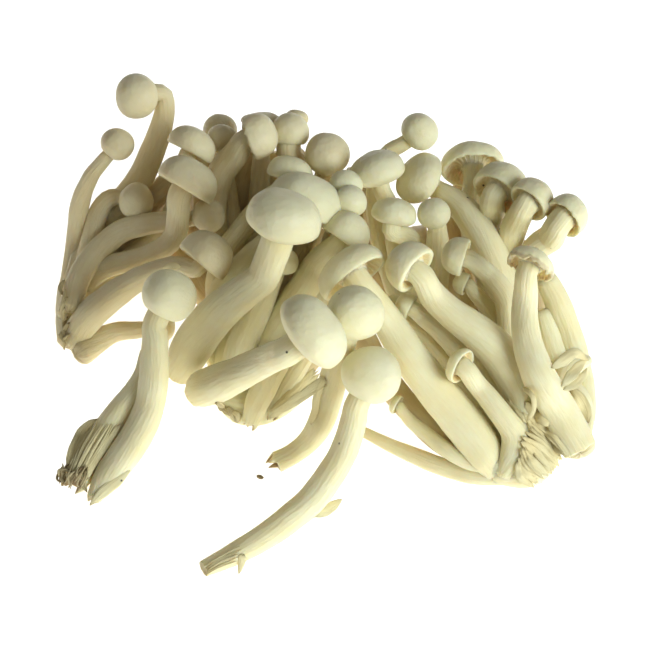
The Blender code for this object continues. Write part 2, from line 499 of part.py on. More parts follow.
def ring_points(at, u, v, radius, sides):
    """The corners of one ring round a point."""
    # A polygon of the same area as its circle
    swell = math.sqrt(2 * math.pi / sides / math.sin(2 * math.pi / sides))
    angles = np.arange(sides) * 2 * math.pi / sides
    radius = radius * swell
    return [at + radius * (math.cos(a) * u + math.sin(a) * v) for a in angles]


def beyond(points, radius, grow):
    """The rounded end a little beyond the first of two points."""
    onward = points[0] - points[1]
    return points[0] + onward / np.linalg.norm(onward) * (END_BULGE * radius + grow)


def body_mesh(body, grow=0.0):
    """A closed mesh of one body, from its foot to its top, grown outwards by a margin."""
    sides = SIDES_LARGE if body.radius > LARGE_CAP else SIDES_SMALL
    order = np.linspace(SPINE_POINTS - 1, 0, STEM_RINGS).round().astype(int)
    spine, radii = body.spine[order], body.radii[order]
    if body.cap is not None:
        axis = body.axis
        below = (spine - body.cap) @ axis
        keep = below < -body.radius * max(body.form.under * STEM_STOP, LEAST_STOP)
        keep[:2] = True
        spine, radii = spine[keep], radii[keep]
    side, other = frames_along(spine)
    rings = [ring_points(p, u, v, r + grow, sides)
             for p, u, v, r in zip(spine, side, other, radii)]
    if body.cap is None:
        tip = beyond(spine[::-1], radii[-1], grow)
    else:
        u = side[-1] - axis * (side[-1] @ axis)
        u /= np.linalg.norm(u)
        v = np.cross(axis, u)
        outline = cap_outline(body, radii[-1], grow)
        for across, height in outline[:-1]:
            rings.append(ring_points(body.cap + axis * height, u, v, across, sides))
        tip = body.cap + axis * (outline[-1][1] + grow * CORNER_REACH)
    return loft(body.name, beyond(spine, radii[0], grow), rings, tip)


def loft(name, start, rings, tip):
    """A closed mesh through the rings, with a point at each end."""
    shape = bmesh.new()
    first = shape.verts.new(Vector(start * MM))
    rows = [[shape.verts.new(Vector(p * MM)) for p in ring] for ring in rings]
    last = shape.verts.new(Vector(tip * MM))
    count = len(rows[0])
    for i in range(count):
        j = (i + 1) % count
        shape.faces.new((first, rows[0][j], rows[0][i]))
        shape.faces.new((last, rows[-1][i], rows[-1][j]))
        for low, high in zip(rows, rows[1:]):
            shape.faces.new((low[i], low[j], high[j], high[i]))
    mesh = bpy.data.meshes.new(name)
    shape.to_mesh(mesh)
    shape.free()
    return mesh


def boolean(target, operands, operation):
    """Joins or cuts the target with the operand objects, which are used up."""
    tools = bpy.data.collections.new("tools")
    for operand in operands:
        tools.objects.link(operand)
    modifier = target.modifiers.new("combine", "BOOLEAN")
    modifier.operation = operation
    modifier.operand_type = "COLLECTION"
    modifier.collection = tools
    modifier.solver = "MANIFOLD"
    bpy.context.view_layer.update()
    evaluated = target.evaluated_get(bpy.context.evaluated_depsgraph_get())
    mesh = bpy.data.meshes.new_from_object(evaluated)
    target.modifiers.clear()
    target.data = mesh
    for operand in operands:
        bpy.data.objects.remove(operand)
    bpy.data.collections.remove(tools)


def material(name, colour, roughness):
    """A plain matt flesh."""
    made = bpy.data.materials.new(name)
    made.use_nodes = True
    shader = made.node_tree.nodes["Principled BSDF"]
    shader.inputs["Base Color"].default_value = (*colour, 1.0)
    shader.inputs["Roughness"].default_value = roughness
    shader.inputs["Metallic"].default_value = 0.0
    return made


def flatten_underside(obj):
    """Cuts off what reaches below the table, which leaves flats to lie on."""
    shape = bmesh.new()
    shape.from_mesh(obj.data)
    cut = bmesh.ops.bisect_plane(shape, geom=shape.verts[:] + shape.edges[:] + shape.faces[:],
                                 plane_co=(0, 0, 0), plane_no=(0, 0, 1), clear_inner=True)
    edges = [e for e in cut["geom_cut"] if isinstance(e, bmesh.types.BMEdge)]
    bmesh.ops.edgeloop_fill(shape, edges=edges)
    shape.to_mesh(obj.data)
    shape.free()


def reach_of(body, grow):
    """The corners of a box round a body."""
    points, radii = body.spine, body.radii[:, None] + grow
    if body.cap is not None:
        points = np.vstack([points, body.cap])
        radii = np.vstack([radii, [[body.radius + grow]]])
    return (points - radii).min(axis=0), (points + radii).max(axis=0)


def touching(body, others):
    """Whether any of the other bodies comes near this one."""
    low, high = reach_of(body, NEARBY)
    for other in others:
        other_low, other_high = reach_of(other, NEARBY)
        if (low < other_high).all() and (other_low < high).all():
            return True
    return False


def build_tuft(name, bodies, earlier):
    """One node: its bodies joined, with a dent wherever an earlier tuft presses on it."""
    objects = []
    for body in bodies:
        obj = bpy.data.objects.new(body.name, body_mesh(body))
        objects.append(obj)
    tuft = objects[0]
    tuft.name = name
    bpy.context.scene.collection.objects.link(tuft)
    if len(objects) > 1:
        boolean(tuft, objects[1:], "UNION")
    pressing = [b for b in earlier if touching(b, bodies)]
    if pressing:
        cutters = [bpy.data.objects.new("cutter", body_mesh(b, NODE_GAP)) for b in pressing]
        boolean(tuft, cutters, "DIFFERENCE")
    flatten_underside(tuft)
    tuft.data.shade_smooth()
    return tuft


def main():
    """Lays out the heap and builds its tufts, each one after those that press on it."""
    for obj in list(bpy.data.objects):
        bpy.data.objects.remove(obj)
    bodies = [Body("root_of_" + tuft, tuft, BARE, None, 0, route, is_root=True)
              for tuft, route in ROOTS.items()]
    bodies += [Body(*mushroom) for mushroom in HEAP]
    settle(bodies)
    for body in bodies:
        body.spine = body.spine - [*HEAP_MIDDLE, 0.0]
        if body.cap is not None:
            body.cap = body.cap - [*HEAP_MIDDLE, 0.0]
    flesh = material("white_flesh", FLESH, FLESH_ROUGHNESS)
    names = list(dict.fromkeys(b.tuft for b in bodies))
    done = []
    for name in names:
        own = [b for b in bodies if b.tuft == name]
        tuft = build_tuft(name, own, done)
        tuft.data.materials.clear()
        tuft.data.materials.append(flesh)
        done += own


main()
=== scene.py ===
# %% [markdown]
# A bunch of white shimeji mushrooms lies in one heap on a pale table. It grew as one cluster and
# was pulled apart by hand, so the heap holds a few tufts whose stems are still joined at the
# root, and some loose mushrooms. The solids of the tufts come from model.glb. This script grows
# each mushroom again as a fine mesh in the same place: curved stem, cap, gills and torn foot.

import math
from collections import namedtuple

import bpy
import numpy as np
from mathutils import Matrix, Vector
from mathutils.bvhtree import BVHTree


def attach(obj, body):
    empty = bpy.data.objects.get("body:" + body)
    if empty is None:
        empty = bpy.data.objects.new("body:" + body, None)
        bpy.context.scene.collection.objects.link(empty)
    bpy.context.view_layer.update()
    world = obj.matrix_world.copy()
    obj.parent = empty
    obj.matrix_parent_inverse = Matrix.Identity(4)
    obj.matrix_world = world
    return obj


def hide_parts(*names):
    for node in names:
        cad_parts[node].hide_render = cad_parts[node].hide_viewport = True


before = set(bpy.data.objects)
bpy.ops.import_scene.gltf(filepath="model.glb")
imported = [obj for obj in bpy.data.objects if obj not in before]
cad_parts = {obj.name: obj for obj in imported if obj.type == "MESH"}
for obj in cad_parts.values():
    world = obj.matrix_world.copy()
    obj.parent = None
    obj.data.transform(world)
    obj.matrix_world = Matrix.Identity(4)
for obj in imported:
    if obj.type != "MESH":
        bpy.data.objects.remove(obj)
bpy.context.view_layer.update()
MM = 0.001
print("solids:", sorted(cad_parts))

# %% [markdown]
# Every mushroom is placed by where it is seen from the viewer's side and by its height above the
# table. The two together give one point in space. A real heap could be measured with a ruler
# from above as well, but a photograph shows only one side, so the sight lines fix two directions
# and the heights are chosen so that each mushroom lies on those under it.

# %% Sight lines
# Places in the picture are counted in its points, across and down from the upper left corner.
# Lengths are in millimetres.
SIGHT_SCALE = 0.235
SIGHT_MIDDLE = 322.5
SIGHT_TARGET = np.array([0.0, 0.0, 20.0])
SIGHT_DISTANCE = 700.0
SIGHT_ELEVATION = math.radians(50.0)
HEAP_MIDDLE = np.array([-0.33, 1.5, 0.0])
SPINE_POINTS = 15
CURVE_STEPS = 12

EYE = SIGHT_TARGET + SIGHT_DISTANCE * np.array(
    [0.0, -math.cos(SIGHT_ELEVATION), math.sin(SIGHT_ELEVATION)])
SIGHT_UP = np.array([0.0, math.sin(SIGHT_ELEVATION), math.cos(SIGHT_ELEVATION)])


def place(across, down, height):
    """The point at a height above the table that is seen at (across, down)."""
    point = SIGHT_TARGET + SIGHT_UP * (SIGHT_MIDDLE - down) * SIGHT_SCALE
    point = point + np.array([(across - SIGHT_MIDDLE) * SIGHT_SCALE, 0.0, 0.0])
    reach = (EYE[2] - height) / (EYE[2] - point[2])
    return EYE + reach * (point - EYE)


def smooth_route(points, count):
    """Evenly spaced points on a smooth curve through the given ones (any number of columns).

    The curve is a Catmull-Rom spline. Its length is measured in the first three columns.
    """
    points = np.asarray(points, float)
    padded = np.vstack([2 * points[0] - points[1], points, 2 * points[-1] - points[-2]])
    fine = []
    for i in range(1, len(padded) - 2):
        a, b, c, d = padded[i - 1:i + 3]
        for t in np.linspace(0.0, 1.0, CURVE_STEPS, endpoint=False):
            fine.append(0.5 * (2 * b + (c - a) * t + (2 * a - 5 * b + 4 * c - d) * t ** 2
                               + (3 * b - a - 3 * c + d) * t ** 3))
    fine.append(points[-1])
    fine = np.array(fine)
    steps = np.linalg.norm(np.diff(fine[:, :3], axis=0), axis=1)
    length = np.concatenate([[0.0], np.cumsum(steps)])
    wanted = np.linspace(0.0, length[-1], count)
    return np.column_stack([np.interp(wanted, length, fine[:, k]) for k in range(fine.shape[1])])


print("the viewer's eye is at", EYE.round(1), "mm")

# %% [markdown]
# The heap itself is a list, from the lowest mushroom to the topmost, as one would lay them down.
# Each has the tuft that it belongs to, the form of its cap, the cap's place and radius, and its
# stem from the neck to the foot with the thickness at each point.

# %% The mushrooms of the heap
# dome and under are how high the cap stands over its rim and hangs below it, in cap radii. rim
# is how thin the edge is, and from OPEN_RIM up the cap is open. shoulder is 1 for a round dome,
# and less for a squarer one.
CapForm = namedtuple("CapForm", "dome under rim shoulder")
BALL = CapForm(0.98, 0.86, 0.80, 0.96)
BUTTON = CapForm(0.78, 0.42, 0.86, 0.84)
TALL = CapForm(1.05, 0.20, 0.93, 0.88)
HOOD = CapForm(1.00, 0.30, 0.96, 0.92)
DOME = CapForm(0.84, 0.20, 0.93, 0.88)
OPEN = CapForm(0.70, 0.14, 0.96, 0.90)
BARE = None
OPEN_RIM = 0.9

# Rows of one tuft: name, form, the cap's (across, down, height, radius), the way it faces as an
# angle in the picture and a part towards the viewer, and its stem from the neck to the foot in
# points of (across, down, height, thickness). Where no way is given, the cap follows its stem.
HEAP = [
    # Lowest layer, hidden from the front, which carries the heap
    ("back_tuft", [
        ("low_back_1", BUTTON, (150, 228, 9, 6.5), None,
         [(163, 236, 9, 4.6), (185, 262, 9, 6.2), (212, 300, 7, 7.0), (246, 327, 6, 5.8)]),
        ("low_back_2", DOME, (205, 196, 10, 7.2), None,
         [(212, 208, 10, 5.0), (224, 245, 9, 6.8), (236, 290, 7, 7.6), (256, 327, 6, 5.8)]),
        ("low_back_3", BALL, (262, 182, 9, 6.2), None,
         [(262, 200, 9, 4.8), (262, 240, 8, 6.4), (258, 290, 7, 7.2), (262, 327, 6, 5.8)]),
    ]),
    ("centre_right_tuft", [
        ("low_back_4", BARE, None, None,
         [(328, 206, 9, 5.0), (345, 240, 9, 6.4), (372, 275, 7, 7.2), (408, 312, 6, 7.0)]),
        ("low_back_5", BARE, None, None,
         [(388, 214, 10, 4.8), (396, 245, 9, 6.6), (408, 280, 7, 7.4), (418, 318, 6, 7.0)]),
    ]),
    ("right_back_tuft", [
        ("low_back_6", BARE, None, None,
         [(450, 216, 20, 6.2), (458, 244, 15, 7.0), (486, 292, 8, 7.2), (520, 345, 6, 7.0)]),
        ("low_back_7", BARE, None, None,
         [(524, 246, 9, 4.8), (532, 276, 8, 6.2), (536, 312, 7, 6.8), (530, 350, 6, 6.6)]),
    ]),
    # Bare stems deep in the heap, which fill the shaded gaps between the others; their brown is
    # painted shade
    ("back_tuft", [
        ("deep_back_left", BARE, None, None,
         [(203, 148, 29, 6.2), (206, 190, 20, 7.4), (208, 232, 13, 7.6), (222, 270, 8, 6.8),
          (248, 324, 6, 5.8)]),
        ("deep_back", BARE, None, None,
         [(251, 147, 28, 7.0), (240, 196, 19, 8.0), (230, 250, 12, 8.0), (238, 300, 8, 7.2),
          (258, 326, 6, 5.8)]),
        ("deep_back_right", BARE, None, None,
         [(270, 152, 28, 6.4), (268, 190, 21, 7.6), (262, 240, 13, 7.8), (262, 312, 7, 6.4)]),
    ]),
    ("centre_right_tuft", [
        ("deep_centre_left", BARE, None, None,
         [(360, 170, 27, 6.6), (358, 204, 20, 7.2), (368, 246, 13, 7.4), (398, 308, 7, 7.0)]),
        ("deep_centre_right", BARE, None, None,
         [(372, 196, 26, 6.4), (380, 226, 20, 7.2), (392, 266, 13, 7.4), (410, 316, 7, 7.0)]),
        ("deep_centre_low", BARE, None, None,
         [(414, 230, 24, 6.0), (420, 258, 18, 6.8), (422, 290, 12, 7.0), (420, 316, 7, 6.6)]),
    ]),
    ("right_back_tuft", [
        ("deep_gilled_left", BARE, None, None,
         [(466, 180, 29, 6.4), (470, 212, 23, 7.0), (486, 270, 14, 7.2), (512, 338, 7, 7.0)]),
        ("deep_gilled_right", BARE, None, None,
         [(505, 206, 26, 6.6), (507, 240, 18, 7.4), (510, 284, 12, 7.4), (520, 340, 7, 7.0)]),
    ]),
    ("left_tuft", [
        ("deep_left_high", BARE, None, None,
         [(176, 174, 20, 5.6), (156, 197, 16, 6.4), (126, 222, 11, 6.6), (98, 246, 8, 6.6),
          (76, 282, 6, 6.2)]),
        ("deep_left_low", BARE, None, None,
         [(198, 227, 16, 6.0), (168, 232, 12, 6.4), (136, 245, 9, 7.0), (106, 269, 7, 7.0),
          (80, 300, 5, 6.4)]),
    ]),
    ("centre_tuft", [
        ("deep_middle", BARE, None, None,
         [(325, 230, 28, 6.2), (311, 266, 22, 6.8), (296, 300, 17, 7.4), (274, 344, 11, 7.6),
          (256, 394, 6, 7.0)]),
        ("deep_middle_right", BARE, None, None,
         [(338, 300, 18, 6.0), (326, 330, 13, 6.6), (306, 360, 9, 7.0), (284, 386, 6, 6.6)]),
    ]),
    ("right_tuft", [
        ("deep_right_high", BARE, None, None,
         [(444, 262, 22, 6.2), (461, 296, 18, 7.6), (480, 340, 14, 7.2), (490, 392, 10, 7.4),
          (504, 440, 6, 7.0)]),
        ("deep_right_low", BARE, None, None,
         [(412, 340, 16, 6.0), (432, 372, 13, 7.0), (460, 412, 9, 7.2), (492, 452, 6, 7.0)]),
        ("deep_right_front", BARE, None, None,
         [(360, 330, 17, 5.8), (380, 370, 12, 6.4), (406, 404, 9, 6.2), (442, 440, 6, 6.2),
          (488, 464, 5, 6.0)]),
    ]),
    # Back row
    ("back_tuft", [
        ("back_small_1", BALL, (220, 131, 36, 4.2), None,
         [(222, 148, 31, 3.2), (228, 190, 22, 4.2), (236, 250, 14, 5.0), (254, 312, 7, 5.4)]),
        ("back_small_2", BALL, (222, 139, 37, 3.6), None,
         [(222, 150, 34, 3.4), (228, 195, 25, 4.6), (238, 260, 16, 5.2), (256, 317, 7, 5.4)]),
        ("back_middle", BUTTON, (262, 128, 36, 5.0), (90, 0.15),
         [(262, 146, 32, 4.0), (260, 190, 23, 5.0), (256, 250, 14, 5.6), (260, 317, 7, 5.6)]),
        ("back_brown", BUTTON, (297, 119, 38, 2.8), (80, 0.1),
         [(296, 129, 35, 2.4), (292, 165, 26, 3.2), (278, 240, 15, 4.2), (268, 312, 7, 5.0)]),
        ("back_right", BALL, (290, 132, 39, 4.7), (88, 0.2),
         [(296, 150, 35, 5.8), (295, 192, 25, 6.6), (276, 260, 15, 6.0), (266, 317, 7, 5.6)]),
        ("back_sideways", TALL, (253, 137, 41, 5.5), (20, 0.08),
         [(247, 141, 39, 5.0), (234, 156, 34, 6.4), (218, 180, 28, 6.4), (214, 220, 21, 6.4),
          (224, 280, 13, 6.6), (250, 324, 7, 5.8)]),
        ("back_white", BALL, (327, 155, 43, 5.4), None,
         [(324, 172, 38, 4.4), (314, 215, 28, 5.4), (294, 270, 17, 5.8), (272, 320, 7, 5.8)]),
    ]),
    ("centre_right_tuft", [
        ("back_top_right", BALL, (419, 132, 44, 4.6), None,
         [(404, 143, 41, 3.6), (386, 156, 36, 4.0), (376, 196, 27, 4.8), (384, 250, 16, 5.4),
          (406, 316, 7, 5.6)]),
    ]),
    # Right back tuft, with open gilled caps
    ("right_back_tuft", [
        ("gilled_behind", OPEN, (473, 167, 36, 7.6), (96, -0.5),
         [(472, 184, 31, 5.0), (470, 205, 26, 5.4), (478, 250, 17, 6.0), (500, 305, 9, 6.4),
          (522, 352, 6, 6.4)]),
        ("gilled_left", HOOD, (500, 189, 38, 6.4), (52, -0.48),
         [(497, 199, 35, 5.8), (492, 217, 30, 6.4), (490, 255, 20, 5.8), (506, 305, 11, 6.0),
          (524, 350, 6, 6.2)]),
        ("gilled_middle", HOOD, (531, 200, 38, 5.1), (46, -0.42),
         [(526, 210, 35, 5.6), (513, 229, 29, 6.4), (508, 262, 20, 6.0), (516, 305, 12, 6.2),
          (526, 350, 6, 6.2)]),
        ("gilled_right", HOOD, (566, 216, 36, 5.1), (43, -0.5),
         [(564, 225, 32, 6.0), (550, 238, 28, 6.6), (532, 254, 23, 6.2), (524, 300, 13, 6.4),
          (528, 350, 6, 6.2)]),
        ("centre_tilted", BUTTON, (422, 180, 44, 6.6), (148, 0.45),
         [(431, 184, 41, 4.8), (446, 192, 38, 5.8), (466, 213, 32, 7.2), (487, 245, 25, 7.6),
          (504, 285, 16, 7.2), (520, 345, 7, 6.6)]),
    ]),
    # Caps in the middle of the back
    ("centre_right_tuft", [
        ("centre_hidden", BUTTON, (378, 173, 40, 6.6), (105, 0.3),
         [(382, 184, 36, 4.2), (392, 215, 28, 5.0), (400, 260, 18, 5.6), (414, 316, 8, 5.8)]),
        ("centre_flat", BUTTON, (394, 216, 36, 5.4), (78, 0.12),
         [(404, 226, 32, 4.2), (412, 250, 25, 5.0), (416, 285, 16, 5.6), (420, 320, 8, 5.8)]),
        ("centre_low_ball", BALL, (434, 214, 33, 3.9), None,
         [(437, 226, 29, 4.6), (438, 255, 22, 6.4), (434, 290, 14, 6.6), (424, 324, 7, 6.4)]),
    ]),
    ("centre_tuft", [
        ("middle_small_top", BALL, (346, 186, 37, 3.9), None,
         [(343, 199, 33, 3.4), (334, 235, 25, 4.8), (314, 290, 16, 5.6), (276, 372, 7, 5.8)]),
        ("middle_small_low", BALL, (350, 202, 38, 4.0), None,
         [(345, 216, 34, 3.6), (334, 255, 26, 5.0), (312, 310, 17, 5.8), (280, 382, 7, 5.8)]),
        ("middle_ball_behind", DOME, (289, 176, 36, 5.6), (74, 0.08),
         [(280, 182, 33, 4.4), (262, 204, 28, 5.2), (244, 228, 24, 5.2), (228, 248, 21, 5.4),
          (218, 290, 15, 6.0), (234, 348, 9, 6.2), (248, 394, 6, 6.0)]),
        ("middle_wide", DOME, (304, 206, 40, 9.0), (66, 0.06),
         [(296, 220, 36, 6.0), (272, 240, 31, 6.2), (246, 262, 26, 6.0), (226, 284, 22, 5.8),
          (216, 310, 17, 6.6), (220, 352, 10, 7.8), (240, 400, 6, 6.8)]),
        ("middle_right", TALL, (344, 237, 41, 5.8), (57, 0.02),
         [(336, 242, 38, 6.2), (318, 265, 33, 7.2), (300, 292, 28, 7.2), (279, 322, 22, 7.0),
          (264, 352, 15, 6.8), (260, 402, 6, 6.6)]),
        ("middle_stem", BUTTON, (276, 262, 33, 5.2), None,
         [(272, 276, 30, 5.2), (258, 302, 25, 7.6), (243, 332, 19, 8.6), (234, 360, 13, 8.8),
          (235, 402, 6, 6.8)]),
        ("middle_torn_stem", BARE, None, None,
         [(316, 340, 18, 5.0), (300, 356, 14, 6.4), (284, 384, 9, 6.6), (272, 408, 5, 5.6)]),
        ("middle_flap", BARE, None, None,
         [(288, 346, 16, 5.0), (270, 376, 11, 6.0), (258, 400, 7, 5.8), (250, 422, 3, 4.0)]),
    ]),
    # Left tuft, its feet at the left edge
    ("left_tuft", [
        ("left_low", BUTTON, (160, 325, 8, 4.2), None,
         [(150, 328, 7, 3.4), (138, 330, 6, 4.1), (115, 332, 5, 4.8), (96, 342, 4, 6.0),
          (81, 352, 4, 6.4)]),
        ("left_tall_back", BALL, (138, 96, 42, 5.5), None,
         [(161, 93, 41, 4.4), (165, 110, 37, 5.2), (155, 145, 28, 6.1), (138, 182, 20, 6.6),
          (112, 216, 13, 7.0), (90, 245, 9, 7.0), (76, 284, 6, 6.6)]),
        ("left_far", BALL, (117, 145, 38, 4.1), None,
         [(104, 160, 35, 3.4), (90, 178, 31, 4.0), (80, 205, 24, 4.7), (77, 240, 15, 5.0),
          (70, 284, 7, 4.8)]),
        ("left_button", BALL, (136, 201, 25, 4.4), None,
         [(125, 198, 23, 3.6), (111, 198, 20, 4.4), (100, 210, 16, 4.8), (94, 232, 12, 5.0),
          (86, 262, 8, 5.0), (74, 296, 6, 5.0)]),
        ("left_behind", DOME, (191, 148, 33, 5.9), (62, 0.06),
         [(188, 160, 28, 4.2), (182, 192, 22, 5.4), (166, 228, 15, 6.0), (128, 262, 9, 6.2),
          (74, 300, 6, 6.0)]),
        ("left_speckled", BALL, (208, 216, 27, 4.1), None,
         [(196, 218, 25, 3.6), (160, 222, 19, 5.0), (124, 230, 14, 5.6), (97, 252, 11, 5.9),
          (80, 276, 9, 5.6), (70, 306, 6, 5.4)]),
        ("left_dome", DOME, (186, 184, 39, 7.3), (60, -0.02),
         [(180, 192, 36, 5.4), (179, 215, 30, 5.8), (172, 241, 25, 5.2), (140, 258, 19, 4.9),
          (105, 268, 14, 5.2), (84, 288, 10, 5.4), (68, 316, 6, 5.6)]),
        ("left_front_dome", TALL, (204, 260, 33, 6.5), (52, 0.0),
         [(193, 262, 31, 4.0), (165, 268, 26, 4.9), (138, 279, 22, 5.9), (114, 295, 17, 7.0),
          (92, 313, 12, 7.6), (79, 331, 7, 7.2), (72, 342, 5, 6.2)]),
    ]),
    # Right front tuft, its feet at the lower right
    ("right_tuft", [
        ("right_thin_low", BARE, None, None,
         [(356, 428, 1, 2.2), (390, 445, 1, 3.2), (420, 458, 1, 4.0), (450, 469, 1, 4.2),
          (480, 476, 2, 4.2), (508, 474, 3, 5.0)]),
        ("right_small_low", OPEN, (397, 405, 11, 2.4), (150, -0.25),
         [(401, 411, 10, 2.4), (414, 424, 8, 3.0), (430, 437, 7, 3.4), (447, 450, 7, 3.6),
          (467, 461, 6, 3.8), (500, 466, 6, 4.6)]),
        ("right_shaded", BUTTON, (392, 308, 24, 3.2), (150, 0.1),
         [(401, 314, 22, 3.4), (418, 330, 19, 4.4), (440, 352, 16, 4.8), (470, 392, 11, 5.4),
          (504, 444, 7, 6.0)]),
        ("right_gilled_low", TALL, (409, 307, 30, 3.1), (152, -0.1),
         [(411, 307, 28, 3.6), (428, 320, 25, 4.6), (446, 336, 22, 4.8), (470, 366, 17, 5.2),
          (498, 410, 11, 5.8), (522, 448, 7, 6.0)]),
        ("right_back_small", TALL, (465, 284, 31, 2.7), (157, -0.15),
         [(466, 287, 29, 3.2), (480, 298, 26, 3.8), (491, 316, 23, 4.2), (502, 345, 18, 4.8),
          (510, 392, 11, 5.6), (520, 440, 6, 6.0)]),
        ("right_back_dome", TALL, (462, 257, 35, 4.5), (163, -0.1),
         [(464, 259, 33, 4.2), (482, 269, 30, 4.6), (497, 284, 27, 5.2), (507, 302, 24, 5.6),
          (511, 340, 17, 5.8), (518, 390, 10, 6.0), (528, 440, 6, 6.2)]),
        ("right_strip", BARE, None, None,
         [(470, 350, 22, 3.0), (484, 367, 19, 3.8), (498, 385, 16, 4.0), (514, 408, 13, 4.4),
          (530, 440, 8, 5.0)]),
        ("right_open_back", TALL, (413, 269, 41, 6.0), (143, -0.35),
         [(414, 274, 38, 5.8), (430, 292, 34, 6.4), (450, 312, 30, 7.0), (471, 327, 27, 7.8),
          (492, 345, 23, 8.8), (510, 368, 18, 9.2), (520, 398, 11, 7.6), (524, 436, 6, 7.0)]),
        ("right_dome_front", OPEN, (461, 366, 27, 4.2), (148, -0.45),
         [(466, 372, 25, 4.4), (482, 390, 21, 4.9), (500, 412, 17, 5.4), (514, 434, 12, 6.0),
          (513, 456, 8, 6.2), (504, 473, 5, 5.0)]),
        ("right_open_front", OPEN, (353, 275, 41, 8.4), (125, -0.25),
         [(366, 282, 38, 6.6), (378, 302, 35, 6.8), (391, 327, 31, 7.6), (411, 358, 26, 8.4),
          (432, 385, 21, 9.2), (453, 411, 16, 9.8), (471, 433, 12, 9.8), (485, 456, 8, 8.4),
          (494, 472, 5, 5.0)]),
    ]),
    # Right edge tuft
    ("edge_tuft", [
        ("edge_stem_left", BARE, None, None,
         [(545, 277, 30, 4.8), (557, 300, 25, 6.0), (568, 330, 18, 6.4), (577, 362, 12, 6.6),
          (582, 405, 7, 6.8), (578, 436, 5, 6.0)]),
        ("edge_stem_small", BARE, None, None,
         [(542, 310, 22, 3.2), (549, 332, 18, 4.6), (556, 356, 14, 5.2), (567, 394, 9, 5.6),
          (575, 430, 6, 5.8)]),
        ("edge_flap_upper", BARE, None, None,
         [(588, 360, 8, 2.4), (580, 363, 9, 4.4), (568, 368, 10, 5.0), (562, 382, 9, 4.0),
          (568, 404, 6, 4.4)]),
        ("edge_flap_lower", BARE, None, None,
         [(572, 386, 6, 4.0), (581, 400, 5, 4.6), (586, 418, 3, 4.0), (582, 436, 3, 4.4)]),
        ("edge_torn_cap", OPEN, (530, 266, 42, 5.6), (64, -0.3),
         [(526, 272, 39, 5.2), (526, 292, 35, 5.9), (525, 320, 30, 6.3), (530, 350, 25, 7.2),
          (541, 380, 20, 8.0), (557, 406, 12, 8.4), (570, 431, 6, 9.0), (580, 449, 3, 8.2)]),
    ]),
    # Loose mushrooms along the front
    ("loose_large", [
        ("middle_large", BUTTON, (283, 222, 45, 8.9), (74, 0.4),
         [(284, 240, 40, 7.8), (274, 264, 34, 7.6), (253, 285, 29, 7.8), (229, 303, 23, 8.8),
          (209, 322, 16, 9.6), (195, 342, 9, 9.9), (185, 361, 4, 9.0), (178, 372, 1, 7.4)]),
    ]),
    ("front_left_pair", [
        ("front_torn_foot", BARE, None, None,
         [(150, 352, 20, 4.4), (142, 382, 16, 5.4), (124, 408, 12, 6.4), (104, 436, 7, 7.2),
          (87, 462, 3, 7.0), (75, 480, 2, 6.4)]),
        ("front_left", BALL, (169, 297, 34, 6.4), None,
         [(157, 320, 30, 5.6), (155, 350, 25, 6.3), (154, 380, 20, 6.8), (150, 406, 15, 7.1),
          (140, 431, 11, 7.4), (124, 456, 7, 7.4), (107, 478, 3, 6.4), (94, 498, 1, 3.6)]),
    ]),
    ("loose_curled", [
        ("front_ball_curled", BALL, (355, 314, 36, 6.5), None,
         [(346, 338, 30, 5.4), (335, 372, 22, 6.2), (328, 402, 15, 6.2), (320, 425, 10, 5.9),
          (309, 441, 5, 5.4), (293, 454, 2, 4.9), (277, 462, 1, 5.0)]),
    ]),
    ("loose_dome", [
        ("front_dome", BUTTON, (309, 335, 38, 9.2), (38, 0.12),
         [(290, 349, 34, 6.6), (268, 360, 27, 7.0), (241, 373, 20, 8.0), (217, 384, 13, 9.0),
          (201, 389, 7, 8.8)]),
    ]),
    ("loose_long", [
        ("front_long", BALL, (371, 376, 30, 6.9), None,
         [(357, 404, 24, 5.4), (351, 430, 19, 6.1), (343, 453, 15, 6.4), (330, 475, 11, 6.6),
          (312, 499, 7, 6.6), (290, 518, 4.5, 6.4), (267, 535, 3.5, 5.9), (240, 551, 2, 5.2),
          (220, 561, 1, 4.4), (204, 569, 1, 3.6)]),
    ]),
]

# The roots that hold each tuft together: (across, down, height, thickness)
ROOTS = {
    "left_tuft": [(74, 276, 4, 6.0), (72, 296, 3, 8.0), (72, 318, 3, 8.0),
                  (72, 338, 3, 7.0)],
    "back_tuft": [(242, 318, 3, 5.0), (256, 324, 3, 6.6), (272, 320, 3, 5.4)],
    "centre_right_tuft": [(402, 308, 4, 5.6), (414, 320, 4, 7.0), (428, 328, 4, 5.0)],
    "right_back_tuft": [(514, 344, 4, 5.6), (524, 352, 4, 7.0), (538, 356, 4, 5.0)],
    "centre_tuft": [(226, 398, 3, 6.0), (240, 405, 4, 8.6), (258, 405, 4, 9.6), (278, 397, 4, 9.0),
                    (300, 384, 4, 6.6)],
    "right_tuft": [(494, 468, 4, 7.0), (510, 466, 5, 9.6), (528, 462, 5, 11.4), (543, 453, 4, 9.0),
                   (550, 450, 3, 6.0)],
    "edge_tuft": [(566, 418, 3, 5.0), (574, 432, 3, 7.0), (578, 446, 3, 8.0)],
}
print(sum(len(rows) for _, rows in HEAP), "mushrooms and bare stems,", len(ROOTS), "roots")

# %% [markdown]
# Laid down by hand, mushrooms don't pass through each other. Settling moves each one towards or
# away from the viewer, a little at a time, until its stem and cap only touch their neighbours.
# A physics run could do it, but it would also roll them out of the places that the photograph
# shows, and this way each stays exactly where it is seen.

# %% Settle the heap
SETTLE_ROUNDS = 160
# Neighbours of one tuft may press on each other a little, and those of two tufts keep a gap
SAME_TUFT_PRESS = 0.90
OTHER_TUFT_GAP = 0.9
# From this part of its length on, a stem is grown together with its tuft's other stems
ROOT_PART = 0.62
SEAT = 0.5
# How much of each step is taken at once, and how much a stem's points pull on their neighbours
STEP_SHARE = 0.9
STIFFNESS = 0.25
